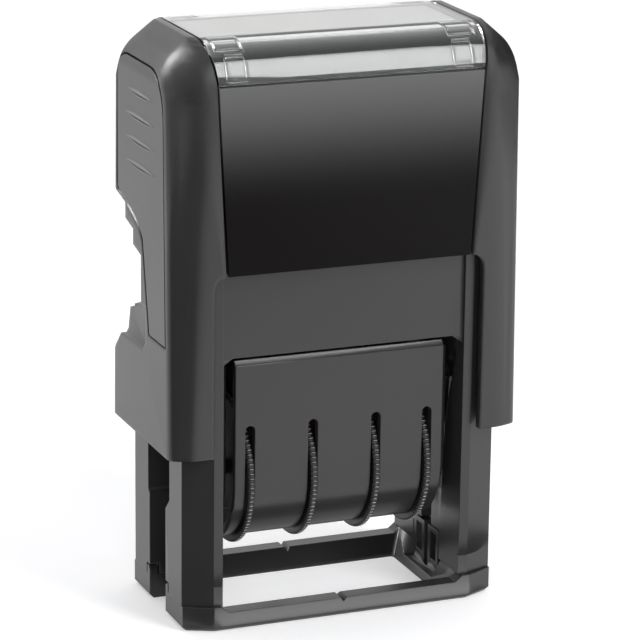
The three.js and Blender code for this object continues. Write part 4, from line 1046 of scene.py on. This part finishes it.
def flat_face(name, material, corners):
    """An object with one face between four corners."""
    mesh = bpy.data.meshes.new(name)
    mesh.from_pydata([tuple(corner) for corner in corners], [], [range(4)])
    mesh.materials.append(material)
    return linked(name, mesh)


def gloss_card(name, material, corners):
    """A card between four corners that shows in reflections alone and belongs to the stage."""
    card = flat_face(name, material, corners)
    card.visible_camera = card.visible_diffuse = card.visible_shadow = card.visible_transmission = False


class STAMP_OT_stage(bpy.types.Operator):
    """Set the camera, the pale floor, the sky, the soft lamps and the cards that gloss sees."""

    bl_idname = "stamp.stage"
    bl_label = "Stage"

    def execute(self, context):
        scene = context.scene
        scene.view_settings.view_transform = "Standard"
        camera = bpy.data.cameras.new("photo_camera")
        camera.sensor_width = 36.0
        camera.lens = FOCAL_PIXELS * camera.sensor_width / PHOTO_PIXELS
        camera.clip_start = 0.01
        holder = linked("photo_camera", camera)
        holder.matrix_world = photo_matrix()
        scene.camera = holder
        scene.world = studio_sky("studio_sky", front=0.3, behind=1.0)

        corners = rectangle((-FLOOR_REACH, -FLOOR_REACH), (FLOOR_REACH, FLOOR_REACH), 0)
        floor = flat_face("floor", studio_white("studio_white", *FLOOR_GLOW), corners)

        lamps = {name: soft_box(name, *values) for name, values in LAMPS.items()}
        lamps["corner_lamp"].visible_diffuse = False
        lamps["overhead_lamp"].visible_glossy = lamps["camera_lamp"].visible_glossy = False
        cards = {name: light_table(name, radiance) for name, radiance in RADIANCES.items()}
        cards["stage_black"] = flat_black("stage_black")
        for name, material, *values in UPRIGHT_CARDS:
            upright_card(name, cards[material], *values)
        for name, material, *values in LYING_CARDS:
            lying_card(name, cards[material], *values)
        return {"FINISHED"}


class STAMP_PT_panel(bpy.types.Panel):
    """Lists the stamp's sizes, colours and build steps."""

    bl_label = "Date Stamp"
    bl_space_type = "VIEW_3D"
    bl_region_type = "UI"
    bl_category = "Stamp"

    def draw(self, context):
        for group in (context.scene.stamp_shape, context.scene.stamp_colours):
            for name in group.__annotations__:
                self.layout.prop(group, name)
        for step in STEPS:
            self.layout.operator(step.bl_idname)


STEPS = (STAMP_OT_stage, STAMP_OT_housing, STAMP_OT_cap, STAMP_OT_panels, STAMP_OT_date_unit)
CLASSES = (StampShape, StampColours, *STEPS, STAMP_PT_panel)


def register():
    """Registers the classes and hangs the sizes and colours on the scene."""
    for kind in CLASSES:
        bpy.utils.register_class(kind)
    bpy.types.Scene.stamp_shape = PointerProperty(type=StampShape)
    bpy.types.Scene.stamp_colours = PointerProperty(type=StampColours)


def unregister():
    """Takes the sizes, colours and classes away again."""
    del bpy.types.Scene.stamp_colours
    del bpy.types.Scene.stamp_shape
    for kind in reversed(CLASSES):
        bpy.utils.unregister_class(kind)


def main():
    """Builds everything in order."""
    register()
    for step in STEPS:
        area, name = step.bl_idname.split(".")
        getattr(getattr(bpy.ops, area), name)()


if __name__ == "__main__":
    main()
